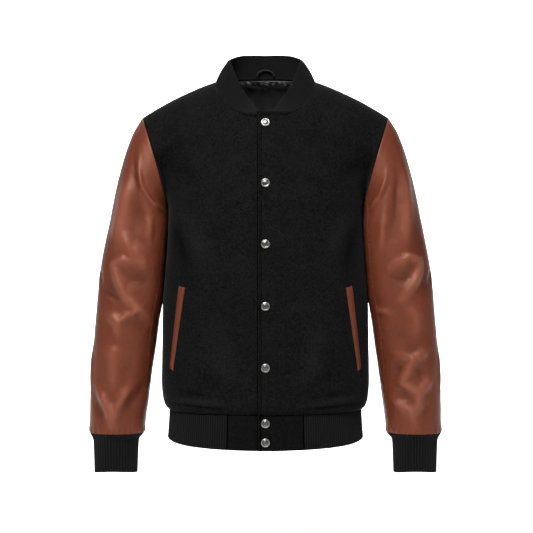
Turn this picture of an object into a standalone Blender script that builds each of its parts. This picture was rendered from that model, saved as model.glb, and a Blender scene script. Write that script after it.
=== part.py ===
"""Varsity jacket: wool body, two-piece leather sleeves, rib collar, cuffs and waistband.

The jacket keeps its worn, hollow form. +Z is up, the front faces -Y and the wearer's
left is +X. The origin lies between the high points of the shoulders, at the foot of
the collar. Sizes below are in millimetres and are written to the meshes in metres.
"""

import math
from collections import namedtuple

import bpy
from mathutils import Vector

MILLIMETRE = 0.001

# Driving dimensions ---------------------------------------------------------------

WOOL_WALL = 2.5
LEATHER_WALL = 2.0
RIB_WALL = 2.2
LINING_WALL = 1.0
SEAM_GAP = 0.3
REST_GAP = 0.35
MITRE_LIMIT = 0.35

WAIST_SEAM_Z = -580.0
WAIST_SEAM_HALF_WIDTH = 170.5
HEM_Z = -640.0
BAND_MIDDLE_Z = -610.0
HEM_ARCH_RISE = 7.0
HEM_CORNER_RISE = 5.0
HEM_CORNER_POWER = 12
UNDERARM_Z = -222.0
UNDERARM_X = 172.0
SHOULDER_TIP_X = 218.0
SHOULDER_TIP_Z = -63.0
SHOULDER_BOW = 5.0
ARMHOLE_HALF_DEPTH = 64.0
ARMHOLE_BOW = 4.0
CHEST_POWER = 2.4
SHOULDER_ROUND = 2.0
FRONT_NECK_ROUND = 1.5
BACK_NECK_ROUND = 2.6
UNDERARM_TUCK = 14.0
UNDERARM_TUCK_RISE = 0.6

NECK_HALF_WIDTH = 86.0
NECK_MIDDLE_Y = 4.0
NECK_FRONT_REACH = 97.0
NECK_BACK_REACH = 70.0
NECK_SHARE = 0.32
NECK_MARGIN = 0.9
NECK_CORNER_BLUR = 0.16
NECK_CORNER_SAMPLES = 9
COLLAR_CLEARANCE = 1.0

LAP_HALF_WIDTH = 14.0
LAP_FADE_X = 45.0
LAP_LIFT = WOOL_WALL + 0.8
TAB_REACH = 66.0

CUFF_TOP_Z = -618.0
CUFF_END_Z = -685.0
CUFF_CORNER_DROP = 4.0
CUFF_RIBS = 42
CUFF_RIB_HEIGHT = 0.9
WAIST_RIB_PITCH = 5.3
WAIST_RIB_HEIGHT = 0.9
COLLAR_RIB_PITCH = 5.3
COLLAR_RIB_HEIGHT = 0.8
RIB_REST_HEIGHT = 0.1

SNAP_DIAMETER = 15.0
SNAP_HEIGHT = 3.2
SNAP_SIDES = 16
SNAP_PROFILE = ((0.86, 0.0), (1.0, 0.3), (0.97, 0.62), (0.78, 0.95), (0.4, 1.0))
SNAP_Z = (-83.0, -186.0, -289.0, -394.0, -498.0, -593.0, -625.0)

WELT_TOP = (142.5, -362.0)
WELT_FOOT = (161.5, -505.0)
WELT_WIDTH = 13.0
WELT_END_SLOPE = 0.4
WELT_WALL = 1.6
WELT_GAP = 0.8
WELT_STEPS = 10

LINING_GAP = 0.5
LINING_DROP = 2.0
LOOP_HALF_SPREAD = 15.0
LOOP_RISE = 11.0
LOOP_RADIUS = 2.0
LOOP_FOOT_RISE = 4.0
LOOP_STAND_OFF = 4.0
LOOP_ARCH_POWER = 0.9
LOOP_TURN_PER_MM = 0.75
LOOP_STEPS = 12
LOOP_SIDES = 8

Torso = namedtuple("Torso", "z half_width front back")
TORSO = (
    Torso(HEM_Z, 173.5, 121.0, 114.0),
    Torso(BAND_MIDDLE_Z, 172.0, 120.0, 113.0),
    Torso(WAIST_SEAM_Z, WAIST_SEAM_HALF_WIDTH, 119.0, 112.0),
    Torso(-572.0, 177.0, 124.5, 118.0),
    Torso(-558.0, 181.5, 127.5, 121.0),
    Torso(-530.0, 184.0, 129.0, 122.0),
    Torso(-470.0, 183.0, 130.0, 123.0),
    Torso(-391.0, 182.0, 131.0, 123.0),
    Torso(-345.0, 178.5, 131.0, 122.5),
    Torso(-309.0, 175.5, 130.5, 122.0),
    Torso(-260.0, 172.5, 129.5, 121.0),
    Torso(UNDERARM_Z, UNDERARM_X, 129.0, 120.5),
)

# The foot of the collar round the neck: 0 degrees is the centre front, 180 the back.
NeckPoint = namedtuple("NeckPoint", "turn z")
NECK = (
    NeckPoint(0.0, -64.0),
    NeckPoint(20.0, -61.5),
    NeckPoint(42.0, -51.0),
    NeckPoint(62.0, -27.0),
    NeckPoint(78.0, -7.0),
    NeckPoint(90.0, 2.0),
    NeckPoint(105.0, 3.2),
    NeckPoint(120.0, 6.5),
    NeckPoint(145.0, 14.0),
    NeckPoint(165.0, 16.2),
    NeckPoint(180.0, 16.5),
)

# The collar's free edge, measured from its foot: inward in plan, sideways towards the
# centre front, and up.
CollarEdge = namedtuple("CollarEdge", "turn inward forward rise")
COLLAR_EDGE = (
    CollarEdge(6.0, 2.5, 4.0, 1.5),
    CollarEdge(20.0, 14.0, 15.5, 4.5),
    CollarEdge(42.0, 32.0, 7.0, 20.0),
    CollarEdge(62.0, 30.0, 2.0, 27.0),
    CollarEdge(90.0, 23.0, 0.0, 37.0),
    CollarEdge(120.0, 18.0, 0.0, 41.0),
    CollarEdge(150.0, 14.0, 0.0, 41.5),
    CollarEdge(180.0, 13.0, 0.0, 41.0),
)
COLLAR_START_TURN = 6.0

# Sections of a sleeve from the armhole to the cuff seam. Outer is the line over the
# shoulder and down the arm, inner the line below the arm, where flat makes the sleeve
# lie flatter beside the body.
Sleeve = namedtuple("Sleeve", "station outer_x outer_z inner_x inner_z middle_y half_y flat")
SLEEVE = (
    Sleeve(0.0, SHOULDER_TIP_X, SHOULDER_TIP_Z, UNDERARM_X, UNDERARM_Z, 0.0, ARMHOLE_HALF_DEPTH, 0.0),
    Sleeve(20.0, 234.0, -89.0, 172.8, -229.0, 0.0, 67.0, 0.0),
    Sleeve(55.0, 251.0, -135.0, 173.2, -240.0, 0.0, 70.0, 0.5),
    Sleeve(95.0, 264.0, -185.0, 173.4, -256.0, -1.0, 71.0, 1.0),
    Sleeve(140.0, 276.0, -245.0, 174.6, -280.0, -2.0, 71.0, 1.2),
    Sleeve(190.0, 288.0, -305.0, 176.9, -312.0, -4.0, 70.0, 1.2),
    Sleeve(228.0, 294.5, -347.0, 179.9, -347.0, -6.0, 68.0, 1.0),
    Sleeve(273.0, 298.0, -391.0, 183.5, -391.0, -9.0, 65.0, 0.6),
    Sleeve(312.0, 301.0, -430.0, 188.5, -430.0, -12.0, 62.0, 0.3),
    Sleeve(353.0, 304.0, -470.0, 193.5, -470.0, -14.0, 59.0, 0.0),
    Sleeve(396.0, 306.5, -512.0, 199.5, -512.0, -17.0, 55.0, 0.0),
    Sleeve(440.0, 309.0, -555.0, 205.0, -555.0, -19.0, 51.0, 0.0),
    Sleeve(478.0, 309.5, -593.0, 210.0, -593.0, -21.0, 48.5, 0.0),
    Sleeve(503.0, 310.0, CUFF_TOP_Z, 212.5, CUFF_TOP_Z, -22.0, 47.0, 0.0),
)
SLEEVE_END = SLEEVE[-1].station
SLEEVE_SEAM_RADIUS = 32.0
ARMHOLE_BOW_FADE = 60.0

# The front seam of a sleeve; the back one is its mirror image.
SleeveSeam = namedtuple("SleeveSeam", "station turn")
SLEEVE_SEAM = (
    SleeveSeam(0.0, 140.0),
    SleeveSeam(150.0, 148.0),
    SleeveSeam(232.0, 149.0),
    SleeveSeam(285.0, 142.0),
    SleeveSeam(350.0, 145.0),
    SleeveSeam(420.0, 152.0),
    SleeveSeam(SLEEVE_END, 152.0),
)

Cuff = namedtuple("Cuff", "z middle_x half_x half_y")
CUFF = (
    Cuff(CUFF_TOP_Z, 261.25, 48.75, 47.0),
    Cuff(-632.0, 263.2, 40.4, 38.5),
    Cuff(CUFF_END_Z, 263.4, 38.0, 33.5),
)
CUFF_MIDDLE_Y = -22.0

# The largest folds of a sleeve. Each is a soft ridge or trough from one place to
# another: along the sleeve in millimetres and round it in degrees, where 0 is the
# outer line, 90 the front, 180 the inner line and 270 the back.
Fold = namedtuple("Fold", "start start_turn end end_turn width height")
SLEEVE_FOLDS = (
    Fold(70.0, 30.0, 195.0, 62.0, 17.0, 3.5),
    Fold(203.0, 50.0, 200.0, 104.0, 13.0, 4.5),
    Fold(222.0, 62.0, 228.0, 112.0, 15.0, -4.5),
    Fold(206.0, 46.0, 280.0, 86.0, 12.0, 3.5),
    Fold(100.0, 76.0, 165.0, 108.0, 17.0, -3.5),
    Fold(30.0, 158.0, 78.0, 84.0, 15.0, 3.0),
    Fold(288.0, 44.0, 308.0, 76.0, 14.0, 3.0),
    Fold(300.0, 74.0, 440.0, 78.0, 18.0, 3.0),
    Fold(330.0, 40.0, 420.0, 48.0, 17.0, -3.0),
    Fold(438.0, 50.0, 486.0, 80.0, 14.0, 3.0),
    Fold(438.0, 112.0, 486.0, 84.0, 14.0, 3.0),
    Fold(462.0, 60.0, 455.0, 100.0, 13.0, -3.0),
    Fold(196.0, 312.0, 214.0, 232.0, 15.0, 4.0),
    Fold(226.0, 300.0, 240.0, 236.0, 14.0, -4.0),
    Fold(262.0, 318.0, 280.0, 240.0, 15.0, 3.5),
    Fold(60.0, 286.0, 150.0, 246.0, 18.0, -3.5),
    Fold(330.0, 276.0, 430.0, 262.0, 18.0, 3.0),
    Fold(450.0, 300.0, 486.0, 262.0, 14.0, 3.0),
)
FOLD_GIRTH_PER_DEGREE = 1.0
BESIDE_BODY_TURN = 28.0

# The planes that the seams lie in, by their normals.
ARMHOLE_PLANE = Vector((
    SHOULDER_TIP_Z - UNDERARM_Z,
    0.0,
    UNDERARM_X - SHOULDER_TIP_X,
)).normalized()
SEAM_PLANE_Y = Vector((0.0, 1.0, 0.0))
SEAM_PLANE_Z = Vector((0.0, 0.0, 1.0))

# Mesh density ---------------------------------------------------------------------

BODY_HEIGHTS = (-572.0, -557.0, -525.0, -460.0, -391.0, -330.0, -270.0)
ARMHOLE_STEPS = 11
LAST_RISE = 86.5
NECK_COLUMNS = 4
BACK_NECK_COLUMNS = 5
SHOULDER_COLUMNS = 7
SLEEVE_ROWS = 24
UPPER_COLUMNS = 13
UNDER_COLUMNS = 4
LINING_ROWS = 7
TAB_COLUMNS = 8
CURVE_SAMPLES = 2000
SEARCH_STEPS = 40
NORMAL_STEP = 0.002

# Colours --------------------------------------------------------------------------

Finish = namedtuple("Finish", "colour roughness metallic")
WOOL = Finish((0.013, 0.013, 0.014), 0.95, 0.0)
LEATHER = Finish((0.165, 0.046, 0.025), 0.42, 0.0)
RIB = Finish((0.011, 0.011, 0.012), 0.9, 0.0)
SATIN = Finish((0.012, 0.012, 0.014), 0.3, 0.0)
SILVER = Finish((0.42, 0.42, 0.40), 0.34, 1.0)


# Small helpers --------------------------------------------------------------------


def mix(first, second, share):
    """Value between two numbers or vectors."""
    return first + (second - first) * share


def ease(share):
    """Smooth step from 0 to 1."""
    share = min(1.0, max(0.0, share))
    return share * share * (3.0 - 2.0 * share)


def slope_at(keys, values, index):
    """Slope of a smooth curve through a table, which never overshoots its rows."""
    last = len(keys) - 1
    before = max(0, min(index - 1, last - 1))
    after = min(index, last - 1)
    rise_before = (values[before + 1] - values[before]) / (keys[before + 1] - keys[before])
    rise_after = (values[after + 1] - values[after]) / (keys[after + 1] - keys[after])
    if rise_before * rise_after <= 0.0:
        return 0.0
    return 2.0 * rise_before * rise_after / (rise_before + rise_after)


def read(table, key, at, column):
    """Read a column of a table at any key, on a smooth curve through its rows."""
    keys = [getattr(row, key) for row in table]
    values = [getattr(row, column) for row in table]
    at = min(keys[-1], max(keys[0], at))
    index = 0
    while index < len(keys) - 2 and keys[index + 1] < at:
        index += 1
    span = keys[index + 1] - keys[index]
    t = (at - keys[index]) / span
    start_pull = (2.0 * t ** 3 - 3.0 * t ** 2 + 1.0) * values[index]
    end_pull = (3.0 * t ** 2 - 2.0 * t ** 3) * values[index + 1]
    start_slope = (t ** 3 - 2.0 * t ** 2 + t) * span * slope_at(keys, values, index)
    end_slope = (t ** 3 - t ** 2) * span * slope_at(keys, values, index + 1)
    return start_pull + end_pull + start_slope + end_slope


def surface_normal(point, across, along, limits):
    """Unit normal of a surface function point(across, along), by small steps."""
    low = max(limits[0], across - NORMAL_STEP)
    high = min(limits[1], across + NORMAL_STEP)
    low_along = max(limits[2], along - NORMAL_STEP)
    high_along = min(limits[3], along + NORMAL_STEP)
    tangent = point(high, along) - point(low, along)
    rise = point(across, high_along) - point(across, low_along)
    return tangent.cross(rise).normalized()


def mitre(normal, plane):
    """Turn a normal into a seam plane and lengthen it, so that the wall stays even."""
    in_plane = normal - plane * normal.dot(plane)
    share = max(MITRE_LIMIT, in_plane.length)
    return in_plane.normalized() / share


# Building meshes ------------------------------------------------------------------


def finish_material(name, finish):
    """A plain Principled material."""
    material = bpy.data.materials.new(name)
    material.use_nodes = True
    shader = material.node_tree.nodes["Principled BSDF"]
    shader.inputs["Base Color"].default_value = (*finish.colour, 1.0)
    shader.inputs["Roughness"].default_value = finish.roughness
    shader.inputs["Metallic"].default_value = finish.metallic
    return material


def add_solid(name, points, faces, finish, sharp_degrees=40.0):
    """One named object from points in millimetres."""
    mesh = bpy.data.meshes.new(name)
    mesh.from_pydata([tuple(point * MILLIMETRE) for point in points], [], faces)
    mesh.update()
    mesh.shade_smooth()
    mesh.set_sharp_from_angle(angle=math.radians(sharp_degrees))
    mesh.materials.append(finish_material(name + "_finish", finish))
    solid = bpy.data.objects.new(name, mesh)
    bpy.context.scene.collection.objects.link(solid)
    return solid


def wall_from_grids(name, outer, inner, finish, ring=False, flip=False):
    """A closed wall between two grids of points with the same rows and columns."""
    rows = len(outer)
    columns = len(outer[0])
    points = [point for row in outer for point in row]
    points += [point for row in inner for point in row]
    inner_start = rows * columns
    faces = []

    def corner(row, column, is_inner):
        return is_inner * inner_start + row * columns + column % columns

    spans = columns if ring else columns - 1
    for row in range(rows - 1):
        for column in range(spans):
            square = [(row, column), (row, column + 1), (row + 1, column + 1), (row + 1, column)]
            for half in ((0, 1, 2), (0, 2, 3)):
                faces.append([corner(*square[place], 0) for place in half])
                faces.append([corner(*square[place], 1) for place in reversed(half)])
    for column in range(spans):
        for row, order in ((0, 1), (rows - 1, -1)):
            edge = [(row, column, 0), (row, column, 1), (row, column + 1, 1), (row, column + 1, 0)]
            faces.append([corner(*place) for place in edge[::order]])
    if not ring:
        for row in range(rows - 1):
            for column, order in ((0, -1), (columns - 1, 1)):
                edge = [(row, column, 0), (row, column, 1), (row + 1, column, 1), (row + 1, column, 0)]
                faces.append([corner(*place) for place in edge[::order]])
    if flip:
        faces = [face[::-1] for face in faces]
    return add_solid(name, points, faces, finish)


# The body -------------------------------------------------------------------------


def neck_point(turn, margin=0.0):
    """The foot of the collar, on the +X side, 0 degrees at the centre front."""
    angle = math.radians(turn)
    reach = NECK_FRONT_REACH if turn < 90.0 else NECK_BACK_REACH
    x = (NECK_HALF_WIDTH + margin) * math.sin(angle)
    y = NECK_MIDDLE_Y - (reach + margin) * math.cos(angle)
    return Vector((x, y, read(NECK, "turn", turn, "z")))


def top_edge(face, share):
    """Neckline and shoulder seam of a panel. Face is -1 in front and 1 at the back."""
    if share <= NECK_SHARE:
        turn = 90.0 * share / NECK_SHARE
        return neck_point(turn if face < 0 else 180.0 - turn, NECK_MARGIN)
    seam = (share - NECK_SHARE) / (1.0 - NECK_SHARE)
    high = neck_point(90.0, NECK_MARGIN)
    tip = Vector((SHOULDER_TIP_X, 0.0, SHOULDER_TIP_Z))
    point = high.lerp(tip, seam)
    point.z += 4.0 * SHOULDER_BOW * seam * (1.0 - seam)
    return point


def soft_top(face, share, rise):
    """The top edge as lower rows feel it: its corner at the neck eases off downwards."""
    reach = NECK_CORNER_BLUR * (1.0 - rise) * min(1.0, 6.0 * share, 6.0 * (1.0 - share))
    total = Vector((0.0, 0.0, 0.0))
    for sample in range(NECK_CORNER_SAMPLES):
        offset = mix(-1.0, 1.0, sample / (NECK_CORNER_SAMPLES - 1))
        total += top_edge(face, min(1.0, max(0.0, share + reach * offset)))
    return total / NECK_CORNER_SAMPLES


def depth_share(across, rise):
    """How deep the chest is at a share of its half width, 1 at the middle."""
    outer_power = CHEST_POWER + 0.8 * rise
    inner_power = CHEST_POWER - 1.0 * min(1.0, 2.0 * rise)
    return max(0.0, 1.0 - across ** outer_power) ** (1.0 / inner_power)


def lean_back(face, share, rise):
    """How much of the chest's depth is left at a rise between underarm, 0, and top, 1."""
    neck_round = FRONT_NECK_ROUND if face < 0 else BACK_NECK_ROUND
    power = mix(neck_round, SHOULDER_ROUND, ease((share - NECK_SHARE) / (1.0 - NECK_SHARE)))
    return max(0.0, 1.0 - rise ** power) ** (1.0 / power)


def body_point(face, share, level):
    """A point of the body's outer face.

    Share runs from the middle, 0, to the side or armhole, 1. Level runs from the
    waist seam, 0, to the underarm, 1, and on to the neck and shoulder seam, 2.
    """
    across = math.sin(math.radians(90.0 * share))
    column = "front" if face < 0 else "back"
    if level <= 1.0:
        z = mix(WAIST_SEAM_Z, UNDERARM_Z, level)
        x = read(TORSO, "z", z, "half_width") * across
        y = face * read(TORSO, "z", z, column) * depth_share(across, 0.0)
        return Vector((x, y, z))
    angle = math.radians(90.0 * (level - 1.0))
    rise = math.sin(angle)
    chest_y = face * read(TORSO, "z", UNDERARM_Z, column)
    bend = 2.0 * math.sqrt(max(0.0, rise * (1.0 - rise)))
    edge_x = mix(UNDERARM_X, SHOULDER_TIP_X, rise) - ARMHOLE_BOW * bend ** 2
    edge_y = face * ARMHOLE_HALF_DEPTH * bend
    top = soft_top(face, share, rise)
    x = edge_x * mix(across, top.x / SHOULDER_TIP_X, rise ** 2)
    z = mix(UNDERARM_Z, top.z, rise)
    middle_y = mix(top_edge(face, 0.0).y, chest_y, lean_back(face, 0.0, rise))
    own_y = mix(top.y, chest_y * depth_share(across, rise), lean_back(face, share, rise))
    reach = share ** mix(UNDERARM_TUCK, 1.0, ease(rise / UNDERARM_TUCK_RISE))
    return Vector((x, own_y + edge_y * (1.0 - own_y / middle_y) * reach, z))


def level_of(z):
    """Level of a height below the underarm."""
    return (z - WAIST_SEAM_Z) / (UNDERARM_Z - WAIST_SEAM_Z)


def share_at(face, x, level):
    """Share at which a row of the body reaches a distance from the middle."""
    low = 0.0
    high = 1.0
    for _ in range(SEARCH_STEPS):
        middle = 0.5 * (low + high)
        if body_point(face, middle, level).x < x:
            low = middle
        else:
            high = middle
    return 0.5 * (low + high)


def column_shares(start, neck_columns):
    """Shares of a panel's columns: first those that end at the neck, then the rest."""
    shares = [mix(start, NECK_SHARE, column / neck_columns) for column in range(neck_columns)]
    for column in range(SHOULDER_COLUMNS + 1):
        shares.append(mix(NECK_SHARE, 1.0, column / SHOULDER_COLUMNS))
    return shares


def body_levels():
    """Levels of the body's rows from the waist seam to the shoulder."""
    lower = [0.0] + [level_of(z) for z in BODY_HEIGHTS]
    return lower + [1.0 + rise / 90.0 for rise in upper_rises()]


def upper_rises():
    """Degrees of the rows above the underarm, evenly spaced round the armhole."""
    rises = []
    for step in range(ARMHOLE_STEPS):
        share = 0.5 - 0.5 * math.cos(math.pi * step / ARMHOLE_STEPS)
        rises.append(math.degrees(math.asin(share)))
    return rises + [LAST_RISE, 90.0]


def body_frame(face, share, level):
    """Outer point and outward normal on the +X half of the body."""
    limits = (0.0, 1.0, 0.0, 1.0) if level <= 1.0 else (0.0, 1.0, 1.0001, 2.0)

    def point(across, along):
        return body_point(face, across, along)

    normal = surface_normal(point, share, level, limits) * -face
    return point(share, level), normal


def body_wall_pair(face, x_sign, share, level, lift=0.0):
    """Outer and inner point of the body's wall at one place, seams mitred."""
    point, normal = body_frame(face, share, level)
    inward = normal
    if level >= 2.0 and share >= NECK_SHARE:
        inward = mitre(normal, SEAM_PLANE_Y)
    if share >= 1.0:
        plane = SEAM_PLANE_Y if level <= 1.0 else ARMHOLE_PLANE
        inward = mitre(normal, plane)
    if level <= 0.0:
        inward = mitre(normal, SEAM_PLANE_Z)
        normal = inward.normalized()
    shift = Vector((0.0, face * SEAM_GAP / 2.0, 0.0))
    outer = point + normal * lift + shift
    inner = point + normal * lift - inward * WOOL_WALL + shift
    for place in (outer, inner):
        place.x *= x_sign
    return outer, inner


def lap_lift(x):
    """How far the upper front stands out over the lower one."""
    return LAP_LIFT * (1.0 - ease((x - LAP_HALF_WIDTH) / (LAP_FADE_X - LAP_HALF_WIDTH)))


def front_row(side, level, lapped):
    """One row of a front panel from its free edge to its side seam."""
    outer_row = []
    inner_row = []
    for x in (-LAP_HALF_WIDTH, 0.0, LAP_HALF_WIDTH):
        share = share_at(-1, abs(x), level)
        x_sign = side * (1.0 if x >= 0.0 else -1.0)
        lift = lap_lift(x) if lapped else 0.0
        outer, inner = body_wall_pair(-1, x_sign, share, level, lift)
        outer_row.append(outer)
        inner_row.append(inner)
    start = share_at(-1, LAP_HALF_WIDTH, level)
    for share in column_shares(start, NECK_COLUMNS)[1:]:
        x = body_point(-1, share, level).x
        lift = lap_lift(x) if lapped else 0.0
        outer, inner = body_wall_pair(-1, side, share, level, lift)
        outer_row.append(outer)
        inner_row.append(inner)
    return outer_row, inner_row


def make_front(name, side, lapped):
    """A front panel. Side is 1 for the wearer's left; the lapped one lies on top."""
    rows = [front_row(side, level, lapped) for level in body_levels()]
    outer = [row[0] for row in rows]
    inner = [row[1] for row in rows]
    return wall_from_grids(name, outer, inner, WOOL, flip=side < 0)


def make_back(name):
    """The back panel from one side seam to the other."""
    outer = []
    inner = []
    shares = column_shares(0.0, BACK_NECK_COLUMNS)
    for level in body_levels():
        pairs = [body_wall_pair(1, -1.0, share, level) for share in reversed(shares[1:])]
        pairs += [body_wall_pair(1, 1.0, share, level) for share in shares]
        outer.append([pair[0] for pair in pairs])
        inner.append([pair[1] for pair in pairs])
    return wall_from_grids(name, outer, inner, WOOL, flip=True)


# The sleeves ----------------------------------------------------------------------


def fold_lift(station, turn):
    """Height of the sleeve's folds at one place."""
    lift = 0.0
    for fold in SLEEVE_FOLDS:
        run = Vector((fold.end - fold.start, (fold.end_turn - fold.start_turn) * FOLD_GIRTH_PER_DEGREE))
        place = Vector((station - fold.start, (turn - fold.start_turn) * FOLD_GIRTH_PER_DEGREE))
        share = place.dot(run) / run.length_squared
        nearest = run * min(1.0, max(0.0, share))
        distance = (place - nearest).length
        taper = 0.35 + 0.65 * math.sin(math.pi * min(1.0, max(0.0, share)))
        lift += fold.height * taper * math.exp(-(distance / fold.width) ** 2)
    seam_fade = ease(station / 40.0) * ease((SLEEVE_END - station) / 18.0)
    beside_body = math.exp(-((turn - 180.0) / BESIDE_BODY_TURN) ** 2)
    return lift * seam_fade * (1.0 - beside_body)


def sleeve_base(turn, station):
    """A point of the +X sleeve before its folds."""
    angle = math.radians(turn)
    outer = Vector((read(SLEEVE, "station", station, "outer_x"), 0.0,
                    read(SLEEVE, "station", station, "outer_z")))
    inner = Vector((read(SLEEVE, "station", station, "inner_x"), 0.0,
                    read(SLEEVE, "station", station, "inner_z")))
    cosine = math.cos(angle)
    sine = math.sin(angle)
    if cosine < 0.0:
        power = 2.0 / (2.0 + read(SLEEVE, "station", station, "flat"))
        cosine = -abs(cosine) ** power
        sine = math.copysign(abs(sine) ** power, sine)
    point = (outer + inner) / 2.0 + (outer - inner) / 2.0 * cosine
    half_y = read(SLEEVE, "station", station, "half_y")
    point.y = read(SLEEVE, "station", station, "middle_y") - half_y * sine
    fade = 1.0 - ease(station / ARMHOLE_BOW_FADE)
    point.x -= ARMHOLE_BOW * fade * math.sin(angle) ** 2
    return point


def sleeve_pair(side, turn, station):
    """Outer and inner point of a sleeve's wall."""
    step = 1.0
    around = sleeve_base(turn + step, station) - sleeve_base(turn - step, station)
    low = max(0.0, station - step)
    high = min(SLEEVE_END, station + step)
    down = sleeve_base(turn, high) - sleeve_base(turn, low)
    normal = around.cross(down).normalized()
    inward = normal
    if station <= 0.0:
        inward = mitre(normal, ARMHOLE_PLANE)
    if station >= SLEEVE_END:
        inward = mitre(normal, SEAM_PLANE_Z)
    shift = ARMHOLE_PLANE * SEAM_GAP
    point = sleeve_base(turn, station) + normal * fold_lift(station, turn) + shift
    inner = point - inward * LEATHER_WALL
    for place in (point, inner):
        place.x *= side
    return point, inner


def make_sleeve_part(name, side, upper, columns):
    """The upper or the under piece of a sleeve, between the two seams down it."""
    outer = []
    inner = []
    half_gap = math.degrees(SEAM_GAP / 2.0 / SLEEVE_SEAM_RADIUS)
    for row in range(SLEEVE_ROWS + 1):
        station = SLEEVE_END * row / SLEEVE_ROWS
        seam = read(SLEEVE_SEAM, "station", station, "turn")
        first_turn, last_turn = (-seam, seam) if upper else (seam, 360.0 - seam)
        turns = []
        for column in range(columns + 1):
            turns.append(mix(first_turn + half_gap, last_turn - half_gap, column / columns))
        pairs = [sleeve_pair(side, turn, station) for turn in turns]
        outer.append([pair[0] for pair in pairs])
        inner.append([pair[1] for pair in pairs])
    return wall_from_grids(name, outer, inner, LEATHER, flip=side < 0)


# Rib pieces -----------------------------------------------------------------------


def rib_lift(column, height):
    """Every second column of a rib knit stands proud."""
    return height if column % 2 else RIB_REST_HEIGHT


def make_cuff(name, side):
    """A rib cuff, a closed ring below the sleeve."""
    columns = 2 * CUFF_RIBS
    outer = []
    inner = []
    for index, section in enumerate(CUFF):
        outer_row = []
        inner_row = []
        drop = SEAM_GAP if index == 0 else 0.0
        for column in range(columns):
            angle = 2.0 * math.pi * column / columns
            around = Vector((math.cos(angle), -math.sin(angle), 0.0))
            corner_drop = CUFF_CORNER_DROP * around.x ** 2 if section.z <= CUFF_END_Z else 0.0
            base = Vector((section.middle_x, CUFF_MIDDLE_Y, section.z - drop - corner_drop))
            reach = Vector((section.half_x * around.x, section.half_y * around.y, 0.0))
            normal = Vector((around.x / section.half_x, around.y / section.half_y, 0.0)).normalized()
            lift = rib_lift(column, CUFF_RIB_HEIGHT)
            point = base + reach - normal * CUFF_RIB_HEIGHT
            outer_row.append(point + normal * lift)
            inner_row.append(point - normal * (RIB_WALL - CUFF_RIB_HEIGHT))
        outer.append(outer_row)
        inner.append(inner_row)
    for grid in (outer, inner):
        for row in grid:
            for point in row:
                point.x *= side
    return wall_from_grids(name, outer, inner, RIB, ring=True, flip=side < 0)


def band_point(turn, z):
    """The waistband's outer face; 0 degrees is the centre front, 90 the +X side."""
    across = math.sin(math.radians(turn))
    face = "front" if math.cos(math.radians(turn)) > 0.0 else "back"
    sign = -1.0 if face == "front" else 1.0
    half_width = read(TORSO, "z", z, "half_width")
    depth = read(TORSO, "z", z, face)
    y = sign * depth * depth_share(abs(across), 0.0)
    if z <= HEM_Z:
        z += HEM_ARCH_RISE * across ** 2 + HEM_CORNER_RISE * across ** HEM_CORNER_POWER
    return Vector((half_width * across, y, z))


def band_normal(turn, z):
    """Level outward normal of the waistband."""
    step = 0.5
    around = band_point(turn + step, z) - band_point(turn - step, z)
    return Vector((-around.y, around.x, 0.0)).normalized() * -1.0


def turn_at_x(x, z):
    """Turn at which the waistband's front reaches a distance from the middle."""
    return math.degrees(math.asin(x / read(TORSO, "z", z, "half_width")))


def even_turns(start, end, count, z):
    """Turns that part a stretch of the waistband into equal lengths."""
    turns = [mix(start, end, index / CURVE_SAMPLES) for index in range(CURVE_SAMPLES + 1)]
    lengths = [0.0]
    for before, after in zip(turns, turns[1:]):
        lengths.append(lengths[-1] + (band_point(after, z) - band_point(before, z)).length)
    result = []
    index = 0
    for number in range(count + 1):
        target = lengths[-1] * number / count
        while index < CURVE_SAMPLES and lengths[index] < target:
            index += 1
        result.append(turns[index])
    return result, lengths[-1]


def make_waistband_rib(name):
    """The rib part of the waistband, from one plain tab round the back to the other."""
    gap_x = TAB_REACH + SEAM_GAP
    start = turn_at_x(gap_x, WAIST_SEAM_Z)
    length = even_turns(start, 360.0 - start, 2, WAIST_SEAM_Z)[1]
    ribs = round(length / WAIST_RIB_PITCH)
    turns = even_turns(start, 360.0 - start, 2 * ribs, WAIST_SEAM_Z)[0]
    outer = []
    inner = []
    for z in (HEM_Z, BAND_MIDDLE_Z, WAIST_SEAM_Z - SEAM_GAP):
        outer_row = []
        inner_row = []
        for column, turn in enumerate(turns):
            normal = band_normal(turn, z)
            point = band_point(turn, z) - normal * WAIST_RIB_HEIGHT
            outer_row.append(point + normal * rib_lift(column, WAIST_RIB_HEIGHT))
            inner_row.append(point - normal * (RIB_WALL - WAIST_RIB_HEIGHT))
        outer.append(outer_row)
        inner.append(inner_row)
    return wall_from_grids(name, outer, inner, RIB)


def make_tab(name, side, lapped):
    """A plain end of the waistband, under the last two snaps."""
    outer = []
    inner = []
    for z in (HEM_Z, BAND_MIDDLE_Z, WAIST_SEAM_Z - SEAM_GAP):
        outer_row = []
        inner_row = []
        for column in range(TAB_COLUMNS + 1):
            reach = TAB_REACH * read(TORSO, "z", z, "half_width") / WAIST_SEAM_HALF_WIDTH
            x = mix(-LAP_HALF_WIDTH, reach, column / TAB_COLUMNS)
            turn = turn_at_x(x, z)
            normal = band_normal(turn, z)
            lift = lap_lift(x) if lapped else 0.0
            outer_row.append(band_point(turn, z) + normal * lift)
            inner_row.append(band_point(turn, z) + normal * (lift - WOOL_WALL))
        for row in (outer_row, inner_row):
            for point in row:
                point.x *= side
        outer.append(outer_row)
        inner.append(inner_row)
    return wall_from_grids(name, outer, inner, RIB, flip=side < 0)


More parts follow.
